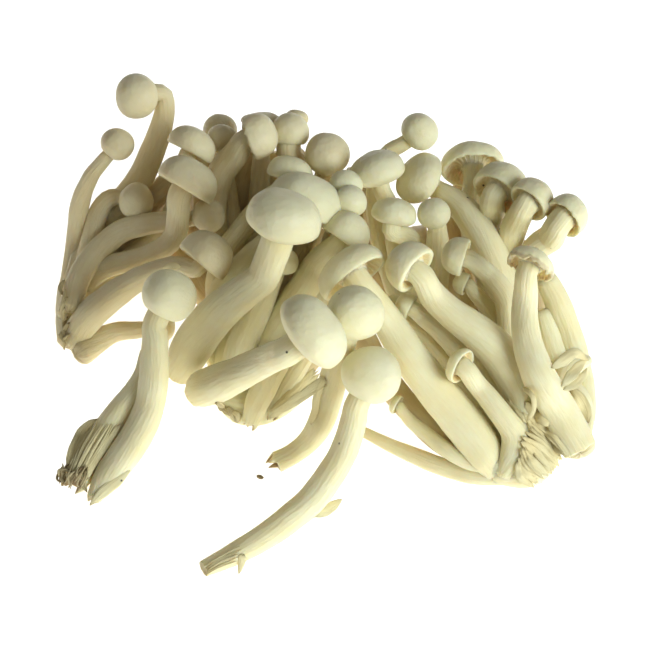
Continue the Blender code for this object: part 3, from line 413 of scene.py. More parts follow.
# A cap settles as a ball: a part of its radius, and a part that counts by how high its dome is
FLAT_CAP_PART, DOME_PART = 0.55, 0.45
# How far under the cap's rim the stem meets its axis, where the stem starts to turn that way,
# and how many of its lowest points never move for it
NECK_BELOW = 0.22
NECK_CLEAR = 1.35
NECK_KEPT = 4


class Body:
    """One mushroom, or one root, as a spine of points with radii and, where it has one, a cap."""

    def __init__(self, name, tuft, form, cap, facing, stem, is_root=False):
        self.name, self.tuft, self.form = name, tuft, form
        self.facing, self.is_root = facing, is_root
        route = [[*place(across, down, height), thickness / 2]
                 for across, down, height, thickness in stem]
        route = smooth_route(route, SPINE_POINTS)
        self.spine, self.radii = route[:, :3], route[:, 3]
        self.cap = None if cap is None else place(*cap[:3])
        self.radius = 0 if cap is None else cap[3]

    def balls(self):
        """The points and radii that settling works on, from the cap down to the foot."""
        if self.cap is None:
            return self.spine, self.radii
        size = self.radius * (FLAT_CAP_PART + DOME_PART * self.form.dome)
        return np.vstack([self.cap, self.spine]), np.concatenate([[size], self.radii])

    def take(self, points):
        """Takes its settled place back."""
        if self.cap is None:
            self.spine = points
        else:
            self.cap, self.spine = points[0], points[1:]
            self.join_neck()

    def join_neck(self):
        """Turns the cap the way it faces and leads the stem's end onto its axis."""
        axis = self.cap - self.spine[0]
        if self.facing is not None:
            turn, toward = math.radians(self.facing[0]), self.facing[1]
            axis = np.array([math.cos(turn), 0.0, 0.0]) + math.sin(turn) * SIGHT_UP
            viewer = toward * (EYE - SIGHT_TARGET) / SIGHT_DISTANCE
            axis = axis * math.sqrt(1 - toward ** 2) + viewer
        self.axis = axis / np.linalg.norm(axis)
        neck = self.cap - self.axis * self.radius * (self.form.under + NECK_BELOW)
        away = np.linalg.norm(self.spine - self.cap, axis=1) > NECK_CLEAR * self.radius
        away[-NECK_KEPT:] = True
        route = np.column_stack([self.spine, self.radii])
        route = np.vstack([[*neck, self.radii[0]], route[away]])
        route = smooth_route(route, SPINE_POINTS)
        self.spine, self.radii = route[:, :3], route[:, 3]


def settle(bodies):
    """Moves the bodies towards or away from the eye until they lie on, not in, each other.

    Each one lies in front of those listed before it. Only the distance from the eye changes,
    so each stays where it is seen.
    """
    points, radii, owner, along = [], [], [], []
    for number, body in enumerate(bodies):
        at, size = body.balls()
        points.append(at)
        radii.append(size)
        owner.append(np.full(len(at), number))
        along.append(np.linspace(0.0, 1.0, len(at)))
    starts = np.concatenate([[0], np.cumsum([len(p) for p in points])])
    points, radii = np.vstack(points), np.concatenate(radii)
    owner, along = np.concatenate(owner), np.concatenate(along)
    tufts = np.array([b.tuft for b in bodies])[owner]
    roots = np.array([b.is_root for b in bodies])[owner]
    away = points - EYE
    distance = np.linalg.norm(away, axis=1)
    ray = away / distance[:, None]
    start = distance.copy()
    on_floor = (EYE[2] - (radii - SEAT)) / -ray[:, 2]

    # Pairs that can touch are those that overlap as they are seen, at the target's distance.
    # The first of a pair lies in front of the second, and reach is how far apart they must be.
    middle_ray = (SIGHT_TARGET - EYE) / SIGHT_DISTANCE
    seen = ray / (ray @ middle_ray)[:, None] * SIGHT_DISTANCE
    apart = np.linalg.norm(seen[:, None, :] - seen[None, :, :], axis=2)
    same = tufts[:, None] == tufts[None, :]
    reach = radii[:, None] + radii[None, :]
    reach = np.where(same, reach * SAME_TUFT_PRESS, reach + OTHER_TUFT_GAP)
    fused = same & (((along[:, None] > ROOT_PART) & (along[None, :] > ROOT_PART))
                    | roots[:, None] | roots[None, :])
    touch = (apart < reach) & (owner[:, None] > owner[None, :]) & ~fused
    front, behind = np.nonzero(touch)
    needed = np.sqrt(reach[touch] ** 2 - apart[touch] ** 2)

    for _ in range(SETTLE_ROUNDS):
        short = needed - (distance[behind] - distance[front])
        short = np.maximum(short, 0.0) / 2
        forward, back = np.zeros(len(points)), np.zeros(len(points))
        np.maximum.at(forward, front, short)
        np.maximum.at(back, behind, short)
        distance += (back - forward) * STEP_SHARE
        distance = np.minimum(distance, on_floor)
        moved = distance - start
        for first, last in zip(starts[:-1], starts[1:]):
            part = moved[first:last]
            ends = np.concatenate([[part[0]], part, [part[-1]]])
            beside = ends[:-2] + ends[2:]
            moved[first:last] = (1 - 2 * STIFFNESS) * part + STIFFNESS * beside
        distance = np.minimum(start + moved, on_floor)
    points = EYE + ray * distance[:, None]
    for body, first, last in zip(bodies, starts[:-1], starts[1:]):
        body.take(points[first:last])


bodies = [Body("root_of_" + tuft, tuft, BARE, None, None, route, is_root=True)
          for tuft, route in ROOTS.items()]
bodies += [Body(name, tuft, *rest) for tuft, rows in HEAP for name, *rest in rows]
settle(bodies)
for body in bodies:
    body.spine = body.spine - HEAP_MIDDLE
    if body.cap is not None:
        body.cap = body.cap - HEAP_MIDDLE
print(len(bodies), "mushrooms and roots settled, the highest at",
      round(max(b.spine[:, 2].max() for b in bodies), 1), "mm")

# %% [markdown]
# A real stem is a bundle of fine threads, and its surface has shallow grooves from foot to neck.
# The rings of points below follow the stem's curve, and every ring has the same soft flats and
# grooves a little turned, so that they run along the stem. Carving each groove with a brush
# would look much the same, but wouldn't keep to the curve of seventy stems.

# %% Rings of points
FLESH, CAP, GILL, SHRED = 0, 1, 2, 3
UPRIGHT = 0.1
TABLE_GAP = 0.02
GRAIN_SHIFT = 50
WAVE_SHARES = (0.4, 1.0)
DENT_WAVES = 7
DENT_SPACINGS = (0.6, 1.5)


class Shape:
    """Points and faces gathered for one piece, in millimetres."""

    def __init__(self):
        self.points, self.faces, self.finish, self.grain, self.wear = [], [], [], [], []

    def add_grid(self, grid, finish, grain, wear, random):
        """Adds rows of rings, closed with a point at each end.

        finish has one number for each row between rings, and wear one for each point. The grain
        is the place in the pattern of threads, moved at random so that no two are the same.
        """
        rows, sides = grid.shape[:2]
        first = len(self.points)
        grain = grain + random.uniform(0, GRAIN_SHIFT, 3)
        ends = [grid[0].mean(axis=0), grid[-1].mean(axis=0)]
        self.points += list(grid.reshape(-1, 3)) + ends
        end_grain = [grain[0].mean(axis=0), grain[-1].mean(axis=0)]
        self.grain += list(grain.reshape(-1, 3)) + end_grain
        self.wear += list(wear.reshape(-1)) + [wear[0].mean(), wear[-1].mean()]
        low, high = first + rows * sides, first + rows * sides + 1
        for j in range(sides):
            k = (j + 1) % sides
            self.faces.append((low, first + k, first + j))
            self.finish.append(finish[0])
            for i in range(rows - 1):
                a, b = first + i * sides, first + (i + 1) * sides
                self.faces.append((a + j, a + k, b + k, b + j))
                self.finish.append(finish[i])
            last = first + (rows - 1) * sides
            self.faces.append((high, last + j, last + k))
            self.finish.append(finish[-1])


def seeded(name):
    """Random numbers that are the same each time for one name."""
    return np.random.default_rng([ord(letter) for letter in name])


def waves(angles, random, orders, size):
    """A gentle closed wave round a ring, made of several orders of ripple."""
    total = np.zeros_like(angles)
    for order in orders:
        phase = random.uniform(0, 2 * math.pi)
        total += np.cos(order * angles + phase) * random.uniform(*WAVE_SHARES)
    return total * size / len(orders)


def drift(along, random, count, size):
    """A slow random change along a length from 0 to 1."""
    knots = random.uniform(-1, 1, count) * size
    return np.interp(along, np.linspace(0, 1, count), knots)


def dents(points, random, size, spacing):
    """Soft dents and bumps all over a surface, from a few waves that cross each other."""
    total = np.zeros(points.shape[:-1])
    for _ in range(DENT_WAVES):
        way = random.normal(size=3)
        length = spacing * random.uniform(*DENT_SPACINGS)
        way = way / np.linalg.norm(way) * 2 * math.pi / length
        total += np.cos(points @ way + random.uniform(0, 2 * math.pi))
    return total * size / math.sqrt(DENT_WAVES)


def ring_angles(sides):
    """The angles of the points of one ring."""
    return np.arange(sides) * 2 * math.pi / sides


def unit(vectors):
    """The same directions with length 1."""
    return vectors / np.linalg.norm(vectors, axis=-1, keepdims=True)


def on_table(grid):
    """Rings of points with those below the table top lifted onto it."""
    grid = np.array(grid)
    grid[:, :, 2] = np.maximum(grid[:, :, 2], TABLE_GAP)
    return grid


def frames_along(spine):
    """Two side directions at each point of a spine, turned as little as possible on the way."""
    tangents = unit(np.gradient(spine, axis=0))
    side = np.cross(tangents[0], [0.0, 0.0, 1.0])
    if np.linalg.norm(side) < UPRIGHT:
        side = np.cross(tangents[0], [1.0, 0.0, 0.0])
    sides = []
    for tangent in tangents:
        side = unit(side - tangent * (side @ tangent))
        sides.append(side)
    sides = np.array(sides)
    return sides, np.cross(tangents, sides)


print("a ripple round a ring:", waves(np.linspace(0, 6, 4), seeded("sample"), (2, 3), 0.1).round(3))

# %% [markdown]
# The stems end in different ways. Where the cluster was cut from its block of sawdust the foot is
# blunt and round. Where it was pulled off by hand it is torn into points, with brown threads of
# the root still in them. Both are made by carrying the rings on past the foot.

# %% Grow a stem
STEM_SIDES = 40
RING_SPACING = 1.25
LEAST_RINGS = 14
CAP_SINK = 0.15
FLAT_ORDERS, FLAT_DEPTH, FLAT_TURN, TURN_KNOTS = (2, 3), 0.075, 0.35, 4
FIBRE_ORDERS, FIBRE_DEPTH = (7, 9, 11, 12, 13), 0.040
SWELLING, SWELL_SPACING, LEAST_SWELLS = 0.025, 7, 4
STEM_DENT, STEM_DENT_SPACING = 0.055, 6.0
# How deep the grooves are in the middle, and how much is added near the foot and the neck,
# with the length over which that fades
MIDDLE_GROOVE = 0.7
FOOT_GROOVE, FOOT_FADE = 0.9, 9
NECK_GROOVE, NECK_FADE = 1.1, 8
STEM_WEAR, STEM_WEAR_LENGTH = 0.55, 6
GRAIN_AROUND, GRAIN_ALONG = 3.0, 0.12
FOOT_GRAIN = (-2, -0.3)

# How far a closed foot goes on, and how square its corner is (1 is round)
FOOT_FORMS = {"round": (0.55, 1.0), "blunt": (0.30, 0.5), "cut": (0.10, 0.25)}
FOOT_ROWS = 6
FOOT_TIP = 0.02
FOOT_ORDERS, FOOT_ROUGHNESS = (3, 5, 8), 0.12
FOOT_WEAR, FOOT_TIP_WEAR = 0.55, 0.45

# A torn foot: its flaps by number, width and length, and how it narrows towards their tips
FLAP_COUNTS, FLAP_WIDTHS, FLAP_LENGTHS = (4, 7), (0.25, 0.8), (0.25, 0.75)
FLAP_POINT = 0.6
LEAST_REACH = 0.06
TORN_LENGTH = 1.5
TORN_ORDERS, TORN_SPREAD = (2, 3, 5), 0.25
TORN_NARROWING, FLAP_NARROWING = 0.30, 0.25
TORN_WEAR, TORN_TIP_WEAR = 0.50, 0.95
HOLLOW_WIDTH, HOLLOW_DEPTH, HOLLOW_WEAR = 0.35, 0.3, 1.4


def stem_path(body):
    """A fine path from the foot into the cap, with its radius, and its length."""
    path = np.column_stack([body.spine, body.radii])[::-1]
    if body.cap is not None:
        inner = body.cap + body.axis * CAP_SINK * body.radius
        path = np.vstack([path, [*inner, body.radii[0]]])
    length = np.linalg.norm(np.diff(path[:, :3], axis=0), axis=1).sum()
    return smooth_route(path, max(LEAST_RINGS, int(length / RING_SPACING))), length


def torn_reach(angles, random):
    """How far a torn foot reaches on each side: a few flaps of uneven width and length."""
    reach = np.full(len(angles), LEAST_REACH)
    for _ in range(random.integers(*FLAP_COUNTS)):
        middle, width = random.uniform(0, 2 * math.pi), random.uniform(*FLAP_WIDTHS)
        off = np.abs((angles - middle + math.pi) % (2 * math.pi) - math.pi)
        flap = random.uniform(*FLAP_LENGTHS) * np.clip(1 - off / width, 0, 1) ** FLAP_POINT
        reach = np.maximum(reach, flap)
    return reach


def torn_foot(start, ring, outward, radius, random):
    """Rings on from a foot to torn flaps and back into its hollow, with the wear of each."""
    angles = ring_angles(STEM_SIDES)
    reach = torn_reach(angles, random)
    spread = waves(angles, random, TORN_ORDERS, TORN_SPREAD)
    rings, wear = [], []
    for t in np.arange(1, FOOT_ROWS + 1) / FOOT_ROWS:
        narrow = 1 - t * t * (TORN_NARROWING + FLAP_NARROWING * reach) + t * spread * reach
        rings.append(start + ring * narrow[:, None]
                     + np.outer(reach * t * radius * TORN_LENGTH, outward))
        wear.append(TORN_WEAR + TORN_TIP_WEAR * t ** 3)
    rings.append(start + ring * HOLLOW_WIDTH - outward * HOLLOW_DEPTH)
    return rings, wear + [HOLLOW_WEAR]


def closed_foot(start, ring, outward, radius, random, foot):
    """Rings that close a round, blunt or cut foot, with the wear of each."""
    depth, corner = FOOT_FORMS[foot]
    rough = waves(ring_angles(STEM_SIDES), random, FOOT_ORDERS, FOOT_ROUGHNESS)
    rings, wear = [], []
    for k in range(1, FOOT_ROWS + 1):
        t = math.pi / 2 * k / FOOT_ROWS
        rings.append(start + ring * (FOOT_TIP + (1 - FOOT_TIP) * math.cos(t)) ** corner
                     + np.outer((depth + rough * math.sin(t)) * radius * math.sin(t), outward))
        wear.append(FOOT_WEAR + FOOT_TIP_WEAR * k / FOOT_ROWS)
    return rings, wear


def add_stem(shape, body, random, foot):
    """The stem of one mushroom, ending in a round, blunt, cut or torn foot."""
    path, length = stem_path(body)
    spine, radii = path[:, :3], path[:, 3]
    along = np.linspace(0, 1, len(spine))
    angles = ring_angles(STEM_SIDES)
    side, other = frames_along(spine)
    turn = drift(along, random, TURN_KNOTS, FLAT_TURN)
    flat = waves(angles, random, FLAT_ORDERS, FLAT_DEPTH)
    fibre = waves(angles, random, FIBRE_ORDERS, FIBRE_DEPTH)
    swell = drift(along, random, max(LEAST_SWELLS, int(length / SWELL_SPACING)), SWELLING)
    groove = MIDDLE_GROOVE + (np.exp(-along * length / FOOT_FADE) * FOOT_GROOVE
                              + np.exp(-(1 - along) * length / NECK_FADE) * NECK_GROOVE)
    grid = []
    for i, t in enumerate(angles + turn[:, None]):
        size = radii[i] * (1 + flat + fibre * groove[i] + swell[i])
        ring = np.outer(np.cos(t), side[i]) + np.outer(np.sin(t), other[i])
        size = size + dents(spine[i] + radii[i] * ring, seeded(body.name), STEM_DENT,
                            STEM_DENT_SPACING)
        grid.append(spine[i] + ring * size[:, None])
    wear = list(STEM_WEAR * np.maximum(0.0, 1 - along * length / STEM_WEAR_LENGTH))
    foot_start = (spine[0], grid[0] - spine[0], unit(spine[0] - spine[1]), radii[0], random)
    rings, foot_wear = torn_foot(*foot_start) if foot == "torn" else closed_foot(*foot_start, foot)
    grid = on_table(rings[::-1] + grid)
    wear = np.repeat(np.array(foot_wear[::-1] + wear)[:, None], STEM_SIDES, axis=1)
    distance = np.concatenate([np.linspace(*FOOT_GRAIN, len(rings)), along * length])
    around = np.column_stack([np.cos(angles), np.sin(angles)]) * GRAIN_AROUND
    grain = np.array([np.column_stack([around, np.full(STEM_SIDES, d * GRAIN_ALONG)])
                      for d in distance])
    shape.add_grid(grid, [FLESH] * len(grid), grain, wear, random)


print("feet:", ["torn", *FOOT_FORMS])

# %% [markdown]
# A cap is a dome that is rolled in at its edge. On a young mushroom the edge still touches the
# stem, so only a thin crease shows. On an older one it has opened, and the gills hang under it
# like the leaves of a book, long ones with short ones between them. One outline turned round the
# stem's end makes either, and the gills are folds in the underside, wide enough to see.

# %% Grow a cap
CAP_SIDES = 56
CAP_ROWS = 34
GILLS = 34
GILL_FOLD = (0.0, 0.55, 1.0, 0.55, 0.0)
GILL_DEPTH = 0.085
SHORT_GILLS_FROM = 0.35
GILL_FINISH_FROM = 0.2
CLOSED_NECK, OPEN_NECK = 0.62, 0.50
LOBE_ORDERS, LOBES, LOBE_REACH, LOBE_RISE = (2, 3, 5), 0.05, 1.2, 0.5
TILT_ORDERS, TILT = (1, 2), 0.05
RAG_ORDERS, RAG_OUTWARD = (5, 8, 13, 19), 0.5
EDGE_BAND, EDGE_FROM, EDGE_WEAR = 0.22, 0.7, 1.5
# A closed cap: the crease beside the stem, its points inside the stem and on the crease's wall
# as (how far out, how deep), and where the arc over the dome starts
CREASE, WIDEST_CREASE = 0.13, 0.80
INSIDE_STEM = ((0.0, 0.50), (0.8, 0.55))
CREASE_WALL = ((0.01, 0.80), (0.055, 0.96))
CLOSED_ARC_START, CLOSED_ARC_POINTS = 0.06, 14
# An open cap: its rolled edge, the heights of the points under it, how much of a gill each
# carries, and where the arc over the dome starts
ROLL, ROLL_OUTER, ROLL_STEP = 1.5, 0.99, 0.06
ROLL_DEGREES = (180, 225, 270, 315, 360)
GILL_START = 0.08
GILL_HEIGHTS, GILL_END_HEIGHT = (0.18, 0.12, 0.08, 0.28, 0.38), 0.12
GILL_SHARES, ROLL_GILL = (0, 0, 0.3, 1, 1, 1), 0.4
OPEN_ARC_START, OPEN_ARC_POINTS = 0.10, 11
CAP_DENT, CAP_DENT_SPACING = 0.06, 7.0
# A direction that no cap faces, from which its rings start
ASIDE = [0.3, 0.2, 1.0]


def cap_outline(form, neck):
    """The cap's outline in cap radii, from inside the stem, under the rim and over the dome.

    Each point is how far out and how high it is, and how much of a gill it carries.
    """
    under, dome, rim = form.under, form.dome, form.rim
    if rim < OPEN_RIM:
        edge = math.acos(min(neck + CREASE, WIDEST_CREASE))
        low = math.sin(edge) * under
        points = [(neck * out, -deep * under, 0) for out, deep in INSIDE_STEM]
        points += [(neck + out, -deep * low, 0) for out, deep in CREASE_WALL]
        for t in np.linspace(-edge + CLOSED_ARC_START, math.pi / 2, CLOSED_ARC_POINTS):
            full, tall = (form.shoulder, dome) if t > 0 else (1.0, -under)
            points.append((math.cos(t) ** full, abs(math.sin(t)) ** full * tall, 0))
        return np.array(points)
    roll = ROLL * (1 - rim)
    centre, low = ROLL_OUTER - roll, roll - under
    inner = centre - roll - ROLL_STEP
    first = neck + GILL_START
    outs = (0.0, neck * 0.8, neck * 1.02, first, (first + inner) / 2, inner)
    heights = [-under + high for high in GILL_HEIGHTS] + [low + GILL_END_HEIGHT]
    points = list(zip(outs, heights, GILL_SHARES))
    for degrees in ROLL_DEGREES:
        t = math.radians(degrees)
        gill = ROLL_GILL if degrees == ROLL_DEGREES[0] else 0
        points.append((centre + roll * math.cos(t), low + roll * math.sin(t), gill))
    for t in np.linspace(OPEN_ARC_START, math.pi / 2, OPEN_ARC_POINTS):
        points.append((math.cos(t) ** form.shoulder, math.sin(t) ** form.shoulder * dome, 0))
    return np.array(points)


def gill_wave(count):
    """How far the underside hangs down round the cap: all gills, and only the long ones."""
    fold = np.array(GILL_FOLD)
    return np.tile(fold, count), np.tile(np.concatenate([fold, fold * 0]), count // 2)


def add_cap(shape, body, random, ragged=0.0):
    """The cap of one mushroom. ragged is how far its edge is torn, in millimetres."""
    is_open = body.form.rim > OPEN_RIM
    sides = GILLS * len(GILL_FOLD) if is_open else CAP_SIDES
    size, axis = body.radius, body.axis
    neck = min(body.radii[0] / size, OPEN_NECK if is_open else CLOSED_NECK)
    outline = cap_outline(body.form, neck)
    outline[:, :2] *= size
    outline = smooth_route(outline, CAP_ROWS)
    u = unit(np.cross(axis, ASIDE))
    v = np.cross(axis, u)
    angles = ring_angles(sides)
    lobes = waves(angles, random, LOBE_ORDERS, LOBES)
    tilt = waves(angles, random, TILT_ORDERS, TILT)
    rag = waves(angles, random, RAG_ORDERS, 1.0) * ragged
    every, long_only = gill_wave(GILLS) if is_open else (np.zeros(sides), np.zeros(sides))
    grid, wear, finish = [], [], []
    for out, high, gill in outline:
        rimward = out / size
        near_stem = max(0.0, 1 - (rimward - neck) / SHORT_GILLS_FROM)
        blade = every * (1 - near_stem) + long_only * near_stem
        off_edge = (high + body.form.under * size) / (EDGE_BAND * size)
        edge = math.exp(-off_edge ** 2) * (rimward > EDGE_FROM)
        ring_size = (out * (1 + lobes * min(1.0, rimward * LOBE_REACH))
                     + rag * edge * RAG_OUTWARD)
        ring_height = (high * (1 + lobes * LOBE_RISE * rimward) + tilt * size * rimward
                       - blade * gill * GILL_DEPTH * size + rag * edge)
        grid.append(body.cap + np.outer(ring_size * np.cos(angles), u)
                    + np.outer(ring_size * np.sin(angles), v) + np.outer(ring_height, axis))
        wear.append(np.full(sides, min(1.0, edge * ragged * EDGE_WEAR)))
        finish.append(GILL if gill > GILL_FINISH_FROM else CAP)
    grid = np.array(grid)
    outward = grid - body.cap
    outward = outward / np.maximum(np.linalg.norm(outward, axis=2, keepdims=True), 0.01)
    outer = (np.array(finish) == CAP)[:, None]
    dented = dents(grid, random, CAP_DENT, CAP_DENT_SPACING) * outer
    grid = on_table(grid + outward * dented[:, :, None])
    shape.add_grid(grid, finish, grid - body.cap, np.array(wear), random)


print("an open cap has", GILLS, "gills, every second one short")

# %% [markdown]
# The finishes are matt and a little waxy. Light goes some way into the flesh, which makes thin
# edges glow and softens every shadow. Each finish is mixed from a few patterns that are shared:
# cloudy patches, threads along the stem, small dark specks, brown where the flesh is torn, and a
# brown that is partly real ageing and partly painted shade, strongest on the stems deep in the
# heap.

# %% Finishes
THREAD_STEPS = (0.38, 0.66)
PATCH_STEPS = (0.35, 0.65)
SPECK_STEPS = (0.10, 0.05)
TORN_STEPS = (1.05, 1.9)
AGE_AND_SHADE_CLOUDS = (0.8, 1.2)
TORN_BROWN = (0.38, 0.27, 0.13)
# Brown of ageing, also used as painted shade on the deep stems and the shaded tufts
AGED_AND_SHADE_BROWN = (0.66, 0.48, 0.26)
SPECK_BROWN = (0.06, 0.045, 0.03)
BUMP_STRENGTH, BUMP_HEIGHT = 0.85, 0.0004
SHINE = 0.2
# How far red, green and blue light go into the flesh, one against the other and in metres
GLOW, GLOW_REACH = (1.0, 0.75, 0.35), 0.0022


def node(tree, kind, links=(), **settings):
    """Adds a node, sets its properties and joins sockets to its inputs."""
    made = tree.nodes.new(kind)
    for key, value in settings.items():
        setattr(made, key, value)
    for socket, source in dict(links).items():
        if isinstance(source, bpy.types.NodeSocket):
            tree.links.new(source, made.inputs[socket])
        else:
            made.inputs[socket].default_value = source
    return made


def stored(tree, name, output="Fac"):
    """What is stored on the mesh under a name."""
    return node(tree, "ShaderNodeAttribute", attribute_name=name).outputs[output]


def math_of(tree, operation, first, second):
    """Two values added, multiplied or compared."""
    return node(tree, "ShaderNodeMath", {0: first, 1: second}, operation=operation).outputs[0]


def steepened(tree, value, steps):
    """0 below the first step and 1 above the second."""
    return node(tree, "ShaderNodeMapRange", {"Value": value, "From Min": steps[0],
                                             "From Max": steps[1]}).outputs[0]


def shared_group(name, inputs, outputs, build):
    """A shader group for several finishes. build gives the source of each output."""
    group = bpy.data.node_groups.new(name, "ShaderNodeTree")
    for socket, value in inputs.items():
        made = group.interface.new_socket(socket, in_out="INPUT", socket_type="NodeSocketFloat")
        made.default_value = value
    for socket in outputs:
        group.interface.new_socket(socket, in_out="OUTPUT", socket_type="NodeSocketFloat")
    start, end = group.nodes.new("NodeGroupInput"), group.nodes.new("NodeGroupOutput")
    for socket, source in zip(outputs, build(group, start.outputs)):
        group.links.new(source, end.inputs[socket])
    return group


def threads(group, start):
    """Fine threads along the stem, from the grain that runs with it."""
    noise = node(group, "ShaderNodeTexNoise", {
        "Vector": stored(group, "grain", "Vector"), "Scale": start["Fineness"], "Detail": 4.0,
        "Roughness": 0.55}).outputs[0]
    return noise, steepened(group, noise, THREAD_STEPS)


def patches(group, start):
    """Cloudy patches over the whole mushroom."""
    where = node(group, "ShaderNodeNewGeometry").outputs["Position"]
    noise = node(group, "ShaderNodeTexNoise", {"Vector": where, "Scale": start["Size"],
                                               "Detail": 3.0}).outputs[0]
    cloudy = steepened(group, noise, PATCH_STEPS)
    return [math_of(group, "MULTIPLY", cloudy, start["Contrast"])]


def specks(group, start):
    """A few small dark specks of growing compost: the middles of a few of many cells."""
    where = node(group, "ShaderNodeNewGeometry").outputs["Position"]
    cells = node(group, "ShaderNodeTexVoronoi", {"Vector": where, "Scale": start["Size"]})
    chance = node(group, "ShaderNodeSeparateColor", {0: cells.outputs["Color"]}).outputs[0]
    few = math_of(group, "LESS_THAN", chance, start["Amount"])
    small = steepened(group, cells.outputs["Distance"], SPECK_STEPS)
    return [math_of(group, "MULTIPLY", few, small)]


def torn_places(group, start):
    """Torn and dried places, from the wear stored on the mesh, broken up by the threads."""
    spread = math_of(group, "ADD", stored(group, "wear"), start["Pattern"])
    return [steepened(group, spread, TORN_STEPS)]


def age_and_shade_brown(group, start):
    """How brown a mushroom is painted, from the value stored on the mesh, in clouds: partly real
    ageing, and painted shade on the stems deep in the heap and the shaded tufts.
    """
    cloudy = node(group, "ShaderNodeMapRange", {
        "Value": start["Clouds"], "To Min": AGE_AND_SHADE_CLOUDS[0], "To Max": AGE_AND_SHADE_CLOUDS[1]}).outputs[0]
    return [math_of(group, "MULTIPLY", stored(group, "age"), cloudy)]


THREADS = shared_group("threads along the stem", {"Fineness": 1.0}, ["Height", "Mask"], threads)
PATCHES = shared_group("cloudy patches", {"Size": 120.0, "Contrast": 1.0}, ["Mask"], patches)
SPECKS = shared_group("dark specks", {"Size": 260.0, "Amount": 0.045}, ["Mask"], specks)
TORN = shared_group("torn places", {"Pattern": 0.5}, ["Mask"], torn_places)
AGED_AND_SHADED = shared_group("browned with age", {"Clouds": 0.5}, ["Mask"], age_and_shade_brown)


def blend(tree, factor, first, second):
    """Mixes two colours."""
    made = tree.nodes.new("ShaderNodeMix")
    made.data_type = "RGBA"
    for socket, source in (("Factor_Float", factor), ("A_Color", first), ("B_Color", second)):
        target = next(i for i in made.inputs if i.identifier == socket)
        if isinstance(source, bpy.types.NodeSocket):
            tree.links.new(source, target)
        else:
            target.default_value = (*source, 1.0)
    return next(o for o in made.outputs if o.identifier == "Result_Color")


def mushroom_finish(name, light, deep, fineness, streaks, roughness, translucency):
    """One waxy finish: two tones in cloudy patches, threads, specks, brown of ageing and painted
    shade, and torn places.
    """
    made = bpy.data.materials.new(name)
    made.use_nodes = True
    tree = made.node_tree
    shader = tree.nodes["Principled BSDF"]
    thread = node(tree, "ShaderNodeGroup", node_tree=THREADS)
    thread.inputs["Fineness"].default_value = fineness
    patch = node(tree, "ShaderNodeGroup", node_tree=PATCHES).outputs["Mask"]
    speck = node(tree, "ShaderNodeGroup", node_tree=SPECKS).outputs["Mask"]
    torn = node(tree, "ShaderNodeGroup", {"Pattern": thread.outputs["Height"]}, node_tree=TORN)
    aged_and_shaded = node(tree, "ShaderNodeGroup", {"Clouds": patch}, node_tree=AGED_AND_SHADED)
    streak = math_of(tree, "MULTIPLY", thread.outputs["Mask"], streaks)
    colour = blend(tree, patch, light, deep)
    # One of these browns is partly painted shade, stored on the mesh with the ageing
    for mask, tone in ((streak, deep), (aged_and_shaded.outputs["Mask"], AGED_AND_SHADE_BROWN),
                       (torn.outputs["Mask"], TORN_BROWN), (speck, SPECK_BROWN)):
        colour = blend(tree, mask, colour, tone)
    bump = node(tree, "ShaderNodeBump", {"Height": thread.outputs["Height"],
                                         "Strength": BUMP_STRENGTH, "Distance": BUMP_HEIGHT})
    tree.links.new(colour, shader.inputs["Base Color"])
    tree.links.new(bump.outputs["Normal"], shader.inputs["Normal"])
    for socket, value in (("Roughness", roughness), ("Metallic", 0.0),
                          ("Specular IOR Level", SHINE), ("Subsurface Weight", translucency),
                          ("Subsurface Radius", GLOW), ("Subsurface Scale", GLOW_REACH)):
        shader.inputs[socket].default_value = value
    return made


# Light tone, deep tone, how fine the threads are, how much they show, roughness, translucency
finishes = [mushroom_finish(*values) for values in (
    ("stem flesh", (0.88, 0.825, 0.545), (0.84, 0.745, 0.43), 1.8, 0.55, 0.50, 0.5),
    ("cap skin", (0.86, 0.81, 0.54), (0.83, 0.76, 0.47), 0.5, 0.15, 0.44, 0.5),
    ("gills", (0.97, 0.87, 0.57), (0.90, 0.73, 0.41), 1.2, 0.30, 0.60, 0.4),
    ("torn strips", (0.95, 0.88, 0.54), (0.90, 0.75, 0.38), 2.2, 0.60, 0.60, 0.0))]
print("finishes:", [m.name for m in finishes])

# %% [markdown]
# Now every mushroom is grown from its place in the list. Each becomes one piece that lies where
# its tuft's solid is and takes its place in the picture.

# %% Grow the mushrooms
FEET = {
    "torn": {"front_left", "front_torn_foot", "front_ball_curled", "middle_torn_stem",
             "edge_stem_left", "right_thin_low", "middle_flap"},
    "blunt": {"middle_large", "front_dome", "right_open_front"},
    "cut": {"front_long", "edge_torn_cap"},
}
RAGGED_CAPS = {"edge_torn_cap": 0.9, "back_sideways": 0.5, "gilled_right": 0.25,
               "gilled_behind": 0.35}
# How brown the mushrooms of a tuft are, partly real ageing and partly painted shade on the left and
# back tufts, and the painted shade on the stems deep in the heap: 0 is fresh and 1 is brown
TUFT_AGE_AND_SHADE = {"left_tuft": 0.34, "back_tuft": 0.30, "loose_large": 0.08, "right_back_tuft": 0.04}
# Painted shade on the stems deep in the heap, the brownest of all
DEEP_PAINTED_SHADE = 0.62
AGE_AND_SHADE_SPREAD = 0.05


def add_object(name, data):
    """A new object in the picture."""
    made = bpy.data.objects.new(name, data)
    bpy.context.scene.collection.objects.link(made)
    return made


